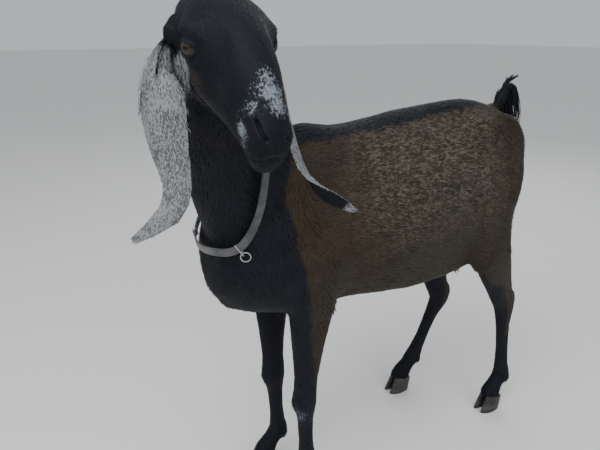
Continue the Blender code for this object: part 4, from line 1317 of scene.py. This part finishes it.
print("skin: unwrap and markings")
skin.data.uv_layers.new(name="OFBake")
skin.select_set(True)
bpy.context.view_layer.objects.active = skin
bpy.ops.object.mode_set(mode="EDIT")
bpy.ops.mesh.select_all(action="SELECT")
bpy.ops.uv.smart_project(angle_limit=math.radians(66), island_margin=0.003)
bpy.ops.object.mode_set(mode="OBJECT")
skinPlaces = coordinates(skin.data)
skinMarks = markings(skinPlaces, normalsOf(skin.data))
even = np.ones(len(skinPlaces))
writeMarks(skin.data, skinMarks, 0.2 * even, 0.5 * even)
print("coat")
samples = SkinSamples(skin)
coatPieces = [growCoat(samples, name, 100 + 10 * i) for i, name in enumerate(coatSizes)]
tailHair = growTail()
print("eyes, claws and strap")
eyes = [makeEye(side) for side in (1, -1)]
claws = []
for end in ("fore", "hind"):
    for sideName, sign in (("left", 1), ("right", -1)):
        claws.append(makeClaw(f"claw_{end}_{sideName}_outer", sign))
        claws.append(makeClaw(f"claw_{end}_{sideName}_inner", -sign))
strap = makeStrap()
metal = [smoothCopy("strap_" + part, "strap" + part.capitalize(), 2, 0)
         for part in ("keeper", "ring", "buckle")]
print("materials")
coatLook("skinHair", True).onto(skin)
tuftLook = coatLook("coatHair", False)
for piece in coatPieces + [tailHair]:
    tuftLook.onto(piece)
eyeMaterial, horn = eyeLook(), hornLook()
for eye in eyes:
    eyeMaterial.onto(eye)
for claw in claws:
    horn.onto(claw)
webbingLook().onto(strap)
steel = steelLook()
for piece in metal:
    steel.onto(piece)

# Camera, floor and lights
view = {
    "lens": 33.8,
    "place": (0.754, 0.863, 0.91),
    "pitch": math.radians(19.1),   # looks down
    "level": (-0.8616, 0.5075),    # and along this on the floor
}
lights = {
    # name: place, size, power
    "keyLight": ((1.6, 0.9, 2.6), 1.8, 55),
    "fillLight": ((0.2, 3.0, 1.6), 2.4, 28),
    "rimLight": ((-1.8, -1.8, 2.4), 2.2, 24),
}
lightAim = (0.1, 0.0, 0.5)
surroundings = {"colour": (0.80, 0.82, 0.85, 1), "strength": 0.70}


def makeCamera():
    camera = bpy.data.objects.new("camera", bpy.data.cameras.new("camera"))
    bpy.context.scene.collection.objects.link(camera)
    camera.data.lens = view["lens"]
    camera.data.sensor_width = 36
    camera.location = at(*view["place"])
    level = Vector((*view["level"], 0)).normalized()
    look = level * math.cos(view["pitch"]) - Vector((0, 0, 1)) * math.sin(view["pitch"])
    camera.rotation_euler = look.to_track_quat("-Z", "Y").to_euler()
    bpy.context.scene.camera = camera


def makeFloor():
    bm = bmesh.new()
    bmesh.ops.create_grid(bm, x_segments=8, y_segments=8, size=30)
    floor = newPiece("floor", meshFrom(bm, "floor"))
    floor.location.z = -0.0005
    return floor


def makeLight(name, place, size, power):
    lamp = bpy.data.objects.new(name, bpy.data.lights.new(name, "AREA"))
    bpy.context.scene.collection.objects.link(lamp)
    lamp.data.size = size
    lamp.data.energy = power
    lamp.location = at(*place)
    lamp.rotation_euler = (at(*lightAim) - lamp.location).to_track_quat("-Z", "Y").to_euler()


makeCamera()
floor = makeFloor()
floorLook().onto(floor)
for name, (place, size, power) in lights.items():
    makeLight(name, place, size, power)
world = bpy.data.worlds.new("studio")
bpy.context.scene.world = world
world.use_nodes = True
background = world.node_tree.nodes["Background"]
background.inputs["Color"].default_value = surroundings["colour"]
background.inputs["Strength"].default_value = surroundings["strength"]
